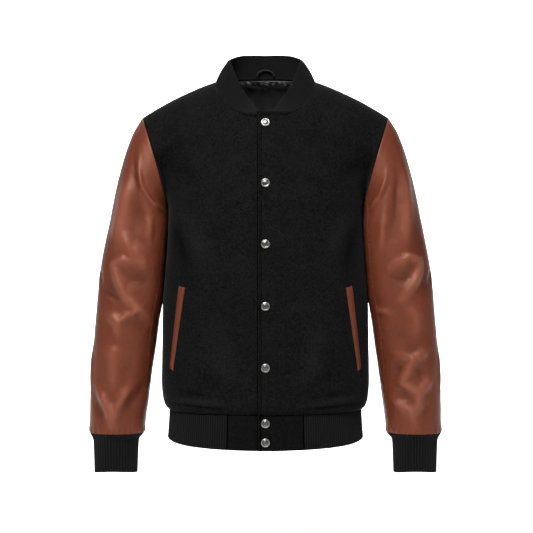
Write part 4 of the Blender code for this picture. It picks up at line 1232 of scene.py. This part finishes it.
def make_collar():
    """The standing rib collar, which tapers to the centre front."""
    turns, ribs = even_turns(lambda turn: collar_edges(turn)[0], COLLAR_START_TURN)
    foot, free = collar_edges(turns)
    rows = crowded(1.0, COLLAR_ROW_SHARE, COLLAR_EDGE_SHARES, 1)[:, None, None]
    points = mix(foot - unit(free - foot) * COLLAR_SINK, free, rows)
    normals = grid_normals(points, 1.0)
    share = np.linspace(0.0, 1.0, len(points))[:, None]
    first_column, last_column, _, _ = edge_distances(points)
    ends = ease(np.minimum(first_column, last_column) / COLLAR_END_REACH)
    behind = ease((COLLAR_BACK_TURN - np.abs(180.0 - turns)) / 30.0) * (1.0 - share)
    inner_shift = unit(points[-1] - points[0])[None, :, :] * (COLLAR_SINK * behind)[..., None]
    bow = COLLAR_BOW + COLLAR_SIDE_BOW * np.sin(np.radians(turns)) ** 4
    points += normals * (bow[None, :] * 4.0 * share * (1.0 - share) * ends)[..., None]
    piece = knit_piece("collar_knit", "collar", points, normals, rib_places(ribs, len(rows)),
                       (False, True), COLLAR_KNIT_HEIGHT, inner_shift, COLLAR_PAINTED_SHADES, INNER_KNIT_PAINTED_LIGHT)
    return piece


# Pieces on the panels -----------------------------------------------------------------


def welt_grid(side):
    """A welt's shares across, its heights, and the points and normals of the front below."""
    rows = crowded(1.0, WELT_ROW_SHARE, WELT_END_PLACES, INNER_SKIP)
    columns = crowded(WELT_WIDTH, WELT_STEP, WELT_EDGE_PLACES, INNER_SKIP) / WELT_WIDTH - 0.5
    along, across = np.meshgrid(rows, columns, indexing="ij")
    middle_x = mix(WELT_TOP[0], WELT_FOOT[0], along)
    z = mix(WELT_TOP[1], WELT_FOOT[1], along)
    level = level_of(z)
    base = body_points(-1, share_at(-1, middle_x, level), level)
    beyond = body_points(-1, share_at(-1, middle_x + SLOPE_STEP, level), level)
    slant = SLOPE_STEP / np.linalg.norm(beyond - base, axis=-1)
    reach = mix(WELT_WIDTH, WELT_FOOT_WIDTH, along) * across
    level = level_of(z + reach * mix(*WELT_END_SLOPES, along))
    points = body_points(-1, share_at(-1, middle_x + reach * slant, level), level)
    normals = grid_normals(points, -1.0)
    mirror(side, points, normals)
    return columns, z, points, normals


def make_welt(word, side):
    """A leather pocket welt: a folded strip with turned ends, sewn along both edges."""
    columns, z, points, normals = welt_grid(side)
    first_column, last_column, first_row, last_row = edge_distances(points)
    edge = np.minimum(first_column, last_column)
    ends = np.minimum(first_row, last_row)
    relief = WELT_CROWN * np.sqrt(np.clip(np.minimum(edge, ends) / WELT_CROWN_REACH, 0.0, 1.0))
    relief += groove(edge - WELT_STITCH) + groove(ends - WELT_STITCH)
    relief += WELT_WAVE.height * wave(points[..., 0], z, WELT_WAVE.pitch, SEED + 30 + side)
    relief -= rounding((edge, ends), LEATHER_EDGE_ROUND)
    outer = points + normals * (WELT_GAP + WELT_FACE + relief)[..., None]
    inner = thin(points + normals * WELT_GAP)
    name = "pocket_welt_" + word
    piece = sewn_piece(name + "_leather", name, points, outer, inner, (WELT,), relief,
                       side > 0)
    inset = 0.5 - WELT_STITCH / WELT_WIDTH
    sewn_columns = [np.abs(columns - place).argmin() for place in (-inset, inset)]
    rows = slice(WELT_SKIP, -WELT_SKIP)
    lines = [(outer[rows, column], normals[rows, column]) for column in sewn_columns]
    sew(name + "_stitches", lines, LEATHER_THREAD)
    return piece


def make_lining():
    """The satin lining inside the back neck, gathered below the collar, with a painted highlight.
    """
    shares = np.linspace(-LINING_SHARE, LINING_SHARE, LINING_COLUMNS)[None, :]
    levels = np.linspace(LINING_LOW_LEVEL, LINING_HIGH_LEVEL, LINING_ROWS)[:, None]
    points = body_points(1, np.abs(shares), levels)
    points[..., 0] *= np.sign(shares)
    normals = grid_normals(points, -1.0)
    points[..., 1] += SEAM_GAP / 2.0
    from_top = edge_distances(points)[3]
    x = points[..., 0]
    gather = uneven_row(x, LINING_GATHER_PITCH, 2.5 * wave(x, from_top, 40.0, SEED + 41))
    creases = wave(x * 1.6, from_top * 0.7, LINING_WAVE.pitch, SEED + 42)
    relief = gather * swell(from_top, LINING_GATHER) + swell(from_top, LINING_BULGE)
    relief += swell(from_top - 2.0 * wave(x, x, 30.0, SEED + 43), LINING_BAND_EDGE)
    relief += LINING_WAVE.height * creases * ease((from_top - 12.0) / 10.0)
    relief *= ease(from_top / 1.5)
    outer = points - normals * (LINING_INSET + relief)[..., None]
    inner = thin(points - normals * (WOOL_WALL + LINING_GAP))
    # The stored values are a painted highlight along the band, broken into patches by the gathers.
    painted_highlight_patches = 0.7 + 0.4 * gather + 0.4 * wave(x, x, 34.0, SEED + 44)
    piece = sewn_piece("lining_satin", "lining_back", points, outer, inner,
                       (SATIN,), painted_highlight_patches * swell(from_top, LINING_PAINTED_HIGHLIGHT))
    line = seam_line(outer, -normals, 0.0 * relief, from_top, LINING_STITCH)
    sew("lining_stitches", [line], SATIN_THREAD_PAINTED_HIGHLIGHT)
    return piece


def make_hanger_loop():
    """The corded loop inside the collar, with its ends sewn into the neck seam."""
    angle = np.linspace(0.0, math.pi, LOOP_STEPS + 1)
    height = LOOP_FOOT_RISE + LOOP_RISE * np.sin(angle) ** LOOP_ARCH_POWER
    x = LOOP_HALF_SPREAD * np.cos(angle)
    foot, free = collar_edges(180.0 - np.abs(x) * LOOP_TURN_PER_MM)
    place = foot + unit(free - foot) * height[:, None]
    path = stack(x, place[:, 1] - LOOP_STAND_OFF, place[:, 2])
    run = unit(np.gradient(path, axis=0))
    first = unit(np.cross(run, np.array((0.0, 1.0, 0.0))))
    second = np.cross(run, first)
    turn = 2.0 * math.pi * np.arange(LOOP_SIDES) / LOOP_SIDES
    strand = np.abs(np.sin(turn + run_lengths(path)[:, None] * LOOP_TWIST_PER_MM))
    radius = LOOP_RADIUS * (1.0 - LOOP_TWIST * (1.0 - strand))
    spokes = first[:, None] * np.cos(turn)[:, None] + second[:, None] * np.sin(turn)[:, None]
    points = (path[:, None] + spokes * radius[..., None]).reshape(-1, 3)
    faces = grid_faces(0, len(path), LOOP_SIDES, True)[:, ::-1].tolist()
    faces.append(list(range(LOOP_SIDES)))
    faces.append(list(range(len(points) - LOOP_SIDES, len(points)))[::-1])
    piece = plain_object("hanger_loop_cord", points, faces, WOOL_THREAD)
    return finish_piece(piece, ("hanger_loop",))


# Snap caps ----------------------------------------------------------------------------


def snap_seat(z):
    """Where a snap sits on the upper front or tab, and the way it faces."""
    if z > WAIST_SEAM_Z:
        level = level_of(z)
        if level > 1.0:
            top = top_edge(-1, np.zeros(1))[0, 2]
            level = 1.0 + math.degrees(math.asin((z - UNDERARM_Z) / (top - UNDERARM_Z))) / 90.0
        levels = level + SNAP_LEVEL_STEP * np.array((-1.0, 0.0, 1.0))
        line = body_points(-1, np.zeros(3), levels)
        rise = line[2] - line[0]
        seat = np.array((0.0, line[1][1] - SEAM_GAP / 2.0, z))
        facing = unit(np.array((0.0, -rise[2], rise[1])))
        return seat + facing * LAP_LIFT, facing
    line = band_points(np.zeros(3), np.array((HEM_Z, z, WAIST_SEAM_Z)))
    rise = line[2] - line[0]
    facing = unit(np.array((0.0, -rise[2], rise[1])))
    return line[1] + np.array((0.0, -LAP_LIFT, 0.0)), facing


def lathe(name, seat, facing, profile, material):
    """A round piece turned on an axis. A profile that isn't closed gets flat ends."""
    side = np.array((1.0, 0.0, 0.0))
    up = unit(np.cross(facing, side))
    turn = 2.0 * math.pi * np.arange(SNAP_SIDES) / SNAP_SIDES
    spokes = side * np.cos(turn)[:, None] + up * np.sin(turn)[:, None]
    rings = [seat + facing * height + spokes * radius for radius, height in profile]
    points = np.concatenate(rings)
    faces = grid_faces(0, len(profile), SNAP_SIDES, True).tolist()
    if profile[0] != profile[-1]:
        faces.append(list(range(len(points) - SNAP_SIDES, len(points))))
        faces.append(list(range(SNAP_SIDES))[::-1])
    return plain_object(name, points, faces, material)


def make_snap(number, z):
    """A pewter snap cap: a rolled rim, a groove inside it and a low dome."""
    seat, facing = snap_seat(z)
    seat = seat + facing * SNAP_REST_GAP
    name = "snap_cap_" + str(number)
    cap = lathe(name + "_metal", seat, facing, SNAP_PROFILE, SNAP)
    radii = np.repeat([radius for radius, _ in SNAP_PROFILE], SNAP_SIDES)
    layer = cap.data.attributes.new(name="radius", type="FLOAT", domain="POINT")
    layer.data.foreach_set("value", radii.astype(np.float32))
    finish_piece(cap, (name,))
    # The pressed ring uses the darker wool, as painted shade at the cap's foot.
    finish_piece(lathe(name + "_press", seat, facing, PRESS_PROFILE, PRESSED_WOOL_PAINTED_SHADE))


# Sewing -------------------------------------------------------------------------------


def stitch_points(line, normals, length, start):
    """Rings of points round one stitch of a row, from a start along it."""
    turn = 2.0 * math.pi * np.arange(STITCH_SIDES) / STITCH_SIDES
    places = [start + ring.share * STITCH_LENGTH for ring in STITCH]
    centres = np.stack([np.interp(places, length, column) for column in line.T], axis=-1)
    up = unit(np.stack([np.interp(places, length, column) for column in normals.T], axis=-1))
    side = unit(np.cross(unit(np.gradient(centres, axis=0)), up))
    rings = []
    for index, ring in enumerate(STITCH):
        spokes = side[index] * np.cos(turn)[:, None] + up[index] * np.sin(turn)[:, None]
        rings.append(centres[index] + up[index] * ring.lift + spokes * THREAD_RADIUS * ring.width)
    return np.concatenate(rings)


def sew(name, lines, thread):
    """Rows of short stitches, joined into one piece. A line is points and normals."""
    stitches = []
    for line, normals in lines:
        length = run_lengths(line)
        pitch = STITCH_LENGTH + STITCH_GAP
        for start in np.arange(STITCH_START, length[-1] - STITCH_LENGTH, pitch):
            stitches.append(stitch_points(line, normals, length, start))
    faces = []
    for count in range(len(stitches)):
        first = count * len(STITCH) * STITCH_SIDES
        faces += grid_faces(first, len(STITCH), STITCH_SIDES, True).tolist()
    piece = plain_object(name, np.concatenate(stitches), faces, thread, 180.0)
    return finish_piece(piece)


def seam_line(points, normals, relief, distances, reach):
    """A line across a grid's columns where they are a distance from an edge, for sewing."""
    surface = np.concatenate([points + normals * relief[..., None], normals], axis=2)
    line = []
    for column, distance in zip(surface.swapaxes(0, 1), distances.T):
        order = np.argsort(distance)
        line.append([np.interp(reach, distance[order], values[order]) for values in column.T])
    line = np.array(line)
    return line[:, :3], unit(line[:, 3:])


def make_body_sewing():
    """The topstitching of the placket and the neck."""
    neck = []
    for side, lapped in ((1, True), (-1, False)):
        points, normals = front_base(side, lapped)
        relief = panel_relief(points, -1, SEED + side, True)
        first_column, _, _, last_row = edge_distances(points)
        if lapped:
            swapped = [grid.swapaxes(0, 1) for grid in (points, normals, relief, first_column)]
            line, up = seam_line(*swapped, PLACKET_STITCH)
            placket = (line[PLACKET_SKIP:-PLACKET_SKIP], up[PLACKET_SKIP:-PLACKET_SKIP])
        line, up = seam_line(points, normals, relief, last_row, NECK_STITCH)
        keep = np.abs(line[:, 0]) < NECK_HALF_WIDTH - STITCH_KEPT_OFF
        keep &= first_column[-1] > STITCH_KEPT_OFF
        if not lapped:
            keep &= line[:, 0] < -LAP_HALF_WIDTH
        neck.append((line[keep], up[keep]))
    points, normals = back_base()
    relief = panel_relief(points, 1, BACK_SEED, False)
    line, up = seam_line(points, normals, relief, edge_distances(points)[3], NECK_STITCH)
    keep = np.abs(line[:, 0]) < NECK_HALF_WIDTH - STITCH_KEPT_OFF
    neck.append((line[keep], up[keep]))
    sew("placket_stitches", [placket], WOOL_THREAD)
    sew("neck_stitches", neck, WOOL_THREAD)


# Materials ----------------------------------------------------------------------------


def add_node(tree, kind, inputs=None, **settings):
    """A shader node with its settings and its inputs, which are values or sockets."""
    node = tree.nodes.new(kind)
    for name, value in settings.items():
        setattr(node, name, value)
    for socket, value in (inputs or {}).items():
        if isinstance(value, bpy.types.NodeSocket):
            tree.links.new(value, node.inputs[socket])
        else:
            node.inputs[socket].default_value = value
    return node


def socket_title(name):
    """A shader socket's title from its name in small letters."""
    return name.replace("_", " ").title().replace("Ior", "IOR")


def new_material(name, **values):
    """A material and its Principled shader, with uniform values set on its sockets."""
    material = bpy.data.materials.new(name)
    material.use_nodes = True
    tree = material.node_tree
    shader = tree.nodes["Principled BSDF"]
    for socket, value in values.items():
        shader.inputs[socket_title(socket)].default_value = value
    return material, tree, shader


def noise(tree, place, scale, detail=3.0, roughness=0.55):
    """Noise over a place, with features of about 1 / scale metres."""
    inputs = {"Vector": place, "Scale": scale, "Detail": detail, "Roughness": roughness}
    return add_node(tree, "ShaderNodeTexNoise", inputs).outputs["Fac"]


def ramp(tree, fac, stops):
    """Colours along a factor. Stops are positions and linear colours."""
    node = add_node(tree, "ShaderNodeValToRGB", {"Fac": fac})
    elements = node.color_ramp.elements
    while len(elements) < len(stops):
        elements.new(0.5)
    for element, (position, colour) in zip(elements, stops):
        element.position = position
        element.color = (*colour, 1.0)
    return node.outputs["Color"]


def math_node(tree, operation, first, second=0.0):
    """A Math node's value."""
    node = add_node(tree, "ShaderNodeMath", {0: first, 1: second}, operation=operation)
    return node.outputs["Value"]


def attribute(tree, name):
    """A number stored on the points of the mesh."""
    return add_node(tree, "ShaderNodeAttribute", attribute_name=name).outputs["Fac"]


def bump(tree, height, strength, distance, normal=None):
    """A Bump node's normal. Distance is in metres."""
    inputs = {"Height": height, "Strength": strength, "Distance": distance}
    if normal is not None:
        inputs["Normal"] = normal
    return add_node(tree, "ShaderNodeBump", inputs).outputs["Normal"]


def object_place(tree):
    """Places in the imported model's frame, in metres."""
    return add_node(tree, "ShaderNodeTexCoord").outputs["Object"]


def weighted(tree, terms, plus=0.0):
    """The sum of sockets times their weights, and a number."""
    for socket, weight in terms:
        inputs = {0: socket, 1: weight, 2: plus}
        plus = add_node(tree, "ShaderNodeMath", inputs, operation="MULTIPLY_ADD").outputs["Value"]
    return plus


def rescale(tree, value, low, high):
    """A value from 0 to 1 taken to a new range."""
    inputs = {"Value": value, "To Min": low, "To Max": high}
    return add_node(tree, "ShaderNodeMapRange", inputs).outputs["Result"]


def stretch(tree, place, scale):
    """A place scaled by axis, so that noise over it is drawn out."""
    return add_node(tree, "ShaderNodeMapping", {"Vector": place, "Scale": scale}).outputs["Vector"]


def join(tree, shader, **sockets):
    """Links to a shader's sockets, named like those of new_material."""
    for name, socket in sockets.items():
        tree.links.new(socket, shader.inputs[socket_title(name)])


def wool_material(name, dark, light):
    """Melton wool: nap, faint mottling, dull sheen; painted shade on edges, creases and troughs."""
    material, tree, shader = new_material(name, roughness=0.92, sheen_roughness=0.42,
                                          sheen_tint=(0.62, 0.62, 0.65, 1.0))
    depth = attribute(tree, "depth")
    # Sheen and specular fade out where the depth is low, as painted shade in troughs.
    painted_shade_range = {"Value": depth, "From Min": -4.5, "From Max": -1.0, "To Max": WOOL_SHINE}
    sheen_dimmed_as_painted_shade = add_node(tree, "ShaderNodeMapRange", painted_shade_range).outputs["Result"]
    place = object_place(tree)
    fibres = noise(tree, stretch(tree, place, (1.0, 1.0, 0.45)), 1500.0, 4.0, 0.7)
    nap = noise(tree, place, 330.0, 3.0, 0.7)
    mottle = noise(tree, place, 28.0, 2.0)
    # The depth term darkens creases, edges and sewn troughs, as painted shade.
    blend = weighted(tree, ((nap, 0.68), (mottle, 0.08), (fibres, 0.2), (depth, 0.05)))
    colour = ramp(tree, blend, ((0.24, (0.001, 0.001, 0.001)), (0.38, dark), (0.64, light)))
    rough = bump(tree, fibres, 0.5, 0.0004, bump(tree, nap, 0.35, 0.0006))
    join(tree, shader, base_color=colour, normal=rough, specular_ior_level=sheen_dimmed_as_painted_shade,
         sheen_weight=sheen_dimmed_as_painted_shade)
    return material


def leather_material(name, dark, middle, light, grain=0.4):
    """Brown leather: fine grain; creases get painted shade, ridges wear and a painted highlight."""
    material, tree, shader = new_material(name, specular_ior_level=LEATHER_SHINE,
                                          specular_tint=LEATHER_GLOW)
    place = object_place(tree)
    mottle = noise(tree, place, 14.0, 4.0, 0.6)
    fine = noise(tree, place, 160.0, 3.0)
    # The depth term paints shade into creases and lightens ridges, partly as wear, partly as
    # painted highlight.
    shade = weighted(tree, ((attribute(tree, "depth"), 0.045), (mottle, 0.26), (fine, 0.14)), 0.27)
    colour = ramp(tree, shade, ((0.18, dark), (0.5, middle), (0.86, light)))
    pores = add_node(tree, "ShaderNodeTexVoronoi", {"Vector": place, "Scale": 620.0},
                     feature="DISTANCE_TO_EDGE").outputs["Distance"]
    pores = math_node(tree, "MINIMUM", math_node(tree, "MULTIPLY", pores, 4.0), 1.0)
    crinkle = bump(tree, noise(tree, place, 85.0, 5.0, 0.62), 0.3, 0.0016)
    join(tree, shader, base_color=colour, roughness=rescale(tree, mottle, 0.34, 0.46),
         normal=bump(tree, pores, grain, 0.00022, crinkle))
    return material


def knit_material(name, dark, light):
    """Rib knit: rows of small V stitches, with painted shade between the ribs."""
    material, tree, shader = new_material(name, roughness=0.9, sheen_weight=0.06,
                                          sheen_roughness=0.45, specular_ior_level=0.1,
                                          sheen_tint=(0.6, 0.6, 0.62, 1.0))
    cloth = add_node(tree, "ShaderNodeUVMap", uv_map="cloth").outputs["UV"]
    parts = add_node(tree, "ShaderNodeSeparateXYZ", {"Vector": cloth})
    rib = math_node(tree, "DIVIDE", parts.outputs["X"], KNIT_PITCH * MILLIMETRE)
    rib = math_node(tree, "FRACT", rib)
    lean = math_node(tree, "ABSOLUTE", math_node(tree, "SUBTRACT", rib, 0.5))
    row = math_node(tree, "DIVIDE", parts.outputs["Y"], KNIT_ROW * MILLIMETRE)
    row = math_node(tree, "MULTIPLY", weighted(tree, ((lean, 1.3),), row), math.pi)
    stitch = math_node(tree, "ABSOLUTE", math_node(tree, "SINE", row))
    fuzz = noise(tree, object_place(tree), 1600.0, 3.0)
    # Depth darkens the colour between the ribs, as painted shade.
    shade = weighted(tree, ((attribute(tree, "depth"), 0.7), (fuzz, 0.3)), 0.62)
    join(tree, shader, base_color=ramp(tree, shade, ((0.2, dark), (0.85, light))),
         normal=bump(tree, fuzz, 0.4, 0.0003, bump(tree, stitch, 0.1, 0.0004)))
    return material


def satin_material():
    """Black satin: glossy, with a fine weave and a painted highlight where the depth is high."""
    material, tree, shader = new_material("satin_lining", anisotropic=0.4, sheen_weight=0.1,
                                          specular_ior_level=0.6)
    place = object_place(tree)
    weave = noise(tree, stretch(tree, place, (1.0, 1.0, 0.25)), 2200.0, 2.0)
    slow = weighted(tree, ((attribute(tree, "depth"), 0.6),), noise(tree, place, 60.0, 3.0))
    # The bright last stop is a painted highlight, driven by the depth that make_lining stores.
    colour = ramp(tree, slow, ((0.35, (0.008, 0.008, 0.008)), (0.74, (0.015, 0.015, 0.0155)),
                               (0.92, (0.75, 0.75, 0.76))))
    join(tree, shader, base_color=colour, roughness=rescale(tree, slow, 0.36, 0.5),
         normal=bump(tree, weave, 0.25, 0.0002, bump(tree, slow, 0.3, 0.002)))
    return material


def snap_material():
    """Antique silver: worn bright on the rim, dark in the groove, finely brushed."""
    material, tree, shader = new_material("snap_metal", metallic=1.0)
    place = object_place(tree)
    radius = math_node(tree, "DIVIDE", attribute(tree, "radius"), SNAP_RADIUS)
    colour = ramp(tree, radius, (
        (0.0, (0.28, 0.28, 0.27)), (0.5, (0.22, 0.22, 0.21)), (0.635, (0.08, 0.08, 0.08)),
        (0.72, (0.6, 0.6, 0.58)), (0.9, (0.52, 0.52, 0.5)), (0.96, (0.2, 0.2, 0.19)),
    ))
    patina = noise(tree, place, 500.0, 4.0, 0.6)
    worn = ramp(tree, patina, ((0.35, (0.72, 0.72, 0.71)), (0.62, (1.0, 1.0, 1.0))))
    mixed = add_node(tree, "ShaderNodeMix", data_type="RGBA", blend_type="MULTIPLY")
    mixed.inputs["Factor"].default_value = 1.0
    tree.links.new(colour, mixed.inputs[6])
    tree.links.new(worn, mixed.inputs[7])
    lines = noise(tree, stretch(tree, place, (1.0, 1.0, 8.0)), 900.0, 2.0)
    join(tree, shader, base_color=mixed.outputs[2], roughness=rescale(tree, patina, 0.24, 0.4),
         normal=bump(tree, lines, 0.12, 0.0001))
    return material


def thread_material(name, dark, light):
    """Twisted sewing thread."""
    material, tree, shader = new_material(name, roughness=0.7)
    twist = noise(tree, object_place(tree), 2600.0, 2.0)
    join(tree, shader, base_color=ramp(tree, twist, ((0.35, dark), (0.65, light))),
         normal=bump(tree, twist, 0.5, 0.0002))
    return material


def floor_material():
    """A plain pale studio floor."""
    material, tree, shader = new_material("studio_floor", roughness=0.9)
    speck = noise(tree, object_place(tree), 3.0, 2.0)
    colour = ramp(tree, speck, ((0.3, (0.86, 0.86, 0.86)), (0.7, (0.88, 0.88, 0.88))))
    join(tree, shader, base_color=colour)
    return material


WOOL = wool_material("wool_shell", (0.003, 0.003, 0.003), (0.0128, 0.0128, 0.013))
TAB_WOOL = wool_material("wool_tab", (0.0025, 0.0025, 0.0026), (0.0085, 0.0085, 0.0088))
# A darker wool for the pressed ring at each snap's foot, as painted shade round the cap.
PRESSED_WOOL_PAINTED_SHADE = wool_material("wool_pressed_painted_shade", (0.003, 0.003, 0.003), (0.008, 0.008, 0.008))
LEATHER = leather_material("leather", (0.055, 0.011, 0.005), (0.172, 0.042, 0.02),
                           (0.3, 0.095, 0.056))
WELT = leather_material("leather_welt", (0.12, 0.029, 0.0145), (0.155, 0.041, 0.021),
                        (0.205, 0.06, 0.033), 0.3)
KNIT = knit_material("rib_knit", (0.0025, 0.0025, 0.0025), (0.0095, 0.0095, 0.0098))
# A lighter copy of the rib knit for the collar's inner face: painted light against the shade inside
# the collar.
INNER_KNIT_PAINTED_LIGHT = knit_material("rib_knit_inner_painted_light", (0.004, 0.004, 0.004), (0.0135, 0.0135, 0.0138))
SATIN = satin_material()
SNAP = snap_material()
WOOL_THREAD = thread_material("thread_black", (0.002, 0.002, 0.002), (0.007, 0.007, 0.007))
# Grey thread for the lining's stitches, lightened as a painted highlight.
SATIN_THREAD_PAINTED_HIGHLIGHT = thread_material("thread_grey_painted_highlight", (0.1, 0.1, 0.101), (0.36, 0.36, 0.365))
LEATHER_THREAD = thread_material("thread_brown", (0.075, 0.022, 0.012), (0.16, 0.052, 0.03))

# Stage, light and camera --------------------------------------------------------------


def make_stage():
    """A pale floor that sweeps up into a wall far behind the jacket."""
    turn = np.linspace(0.0, math.pi / 2.0, SWEEP_STEPS + 1)
    sweep_y = STAGE_BACK_Y - SWEEP_RADIUS + SWEEP_RADIUS * np.sin(turn)
    sweep_z = FLOOR_Z + SWEEP_RADIUS - SWEEP_RADIUS * np.cos(turn)
    y = np.concatenate([[STAGE_FRONT_Y], sweep_y, [STAGE_BACK_Y]])
    z = np.concatenate([[FLOOR_Z], sweep_z, [WALL_TOP_Z]])
    x = np.array((-STAGE_HALF_WIDTH, STAGE_HALF_WIDTH))
    points = stack(x[None, :], y[:, None], z[:, None]).reshape(-1, 3) / MILLIMETRE
    faces = grid_faces(0, len(y), 2, False).tolist()
    plain_object("studio_floor", points, faces, floor_material())


def make_lights():
    """Soft studio light: a key from the upper left, a weaker fill, and lit walls."""
    for row in LIGHTS:
        light = bpy.data.lights.new(row.name, "AREA")
        light.shape = "RECTANGLE"
        light.size = row.width
        light.size_y = row.height
        light.energy = row.power
        light.spread = math.radians(row.spread)
        lamp = bpy.data.objects.new(row.name, light)
        lamp.location = row.place
        aim = Vector(row.target) - Vector(row.place)
        lamp.rotation_euler = aim.to_track_quat("-Z", "Y").to_euler()
        bpy.context.scene.collection.objects.link(lamp)
    world = bpy.data.worlds.new("studio")
    world.use_nodes = True
    background = world.node_tree.nodes["Background"]
    background.inputs["Color"].default_value = (1.0, 1.0, 1.0, 1.0)
    background.inputs["Strength"].default_value = WORLD_STRENGTH
    bpy.context.scene.world = world
    bpy.context.scene.view_settings.view_transform = "Standard"


def make_camera():
    """A level camera in front, at the height of the jacket's middle."""
    data = bpy.data.cameras.new("camera")
    data.lens = CAMERA_LENS
    data.sensor_width = SENSOR_WIDTH
    data.clip_end = 100.0
    camera = bpy.data.objects.new("camera", data)
    camera.location = CAMERA_PLACE
    camera.rotation_euler = (math.pi / 2.0, 0.0, 0.0)
    bpy.context.scene.collection.objects.link(camera)
    bpy.context.scene.camera = camera


# Assembly -----------------------------------------------------------------------------


def make_jacket():
    """Every piece of the jacket."""
    make_back()
    for word, side, lapped in (("left", 1, True), ("right", -1, False)):
        make_front(word, side, lapped)
        for which in ("upper", "under"):
            make_sleeve_part(word, side, which)
        make_cuff(word, side)
        make_welt(word, side)
        make_tab(word, side, lapped)
    make_waistband_rib()
    make_collar()
    make_lining()
    make_hanger_loop()
    for number, z in enumerate(SNAP_Z, start=1):
        make_snap(number, z)
    make_body_sewing()


make_camera()
make_lights()
make_stage()
make_jacket()
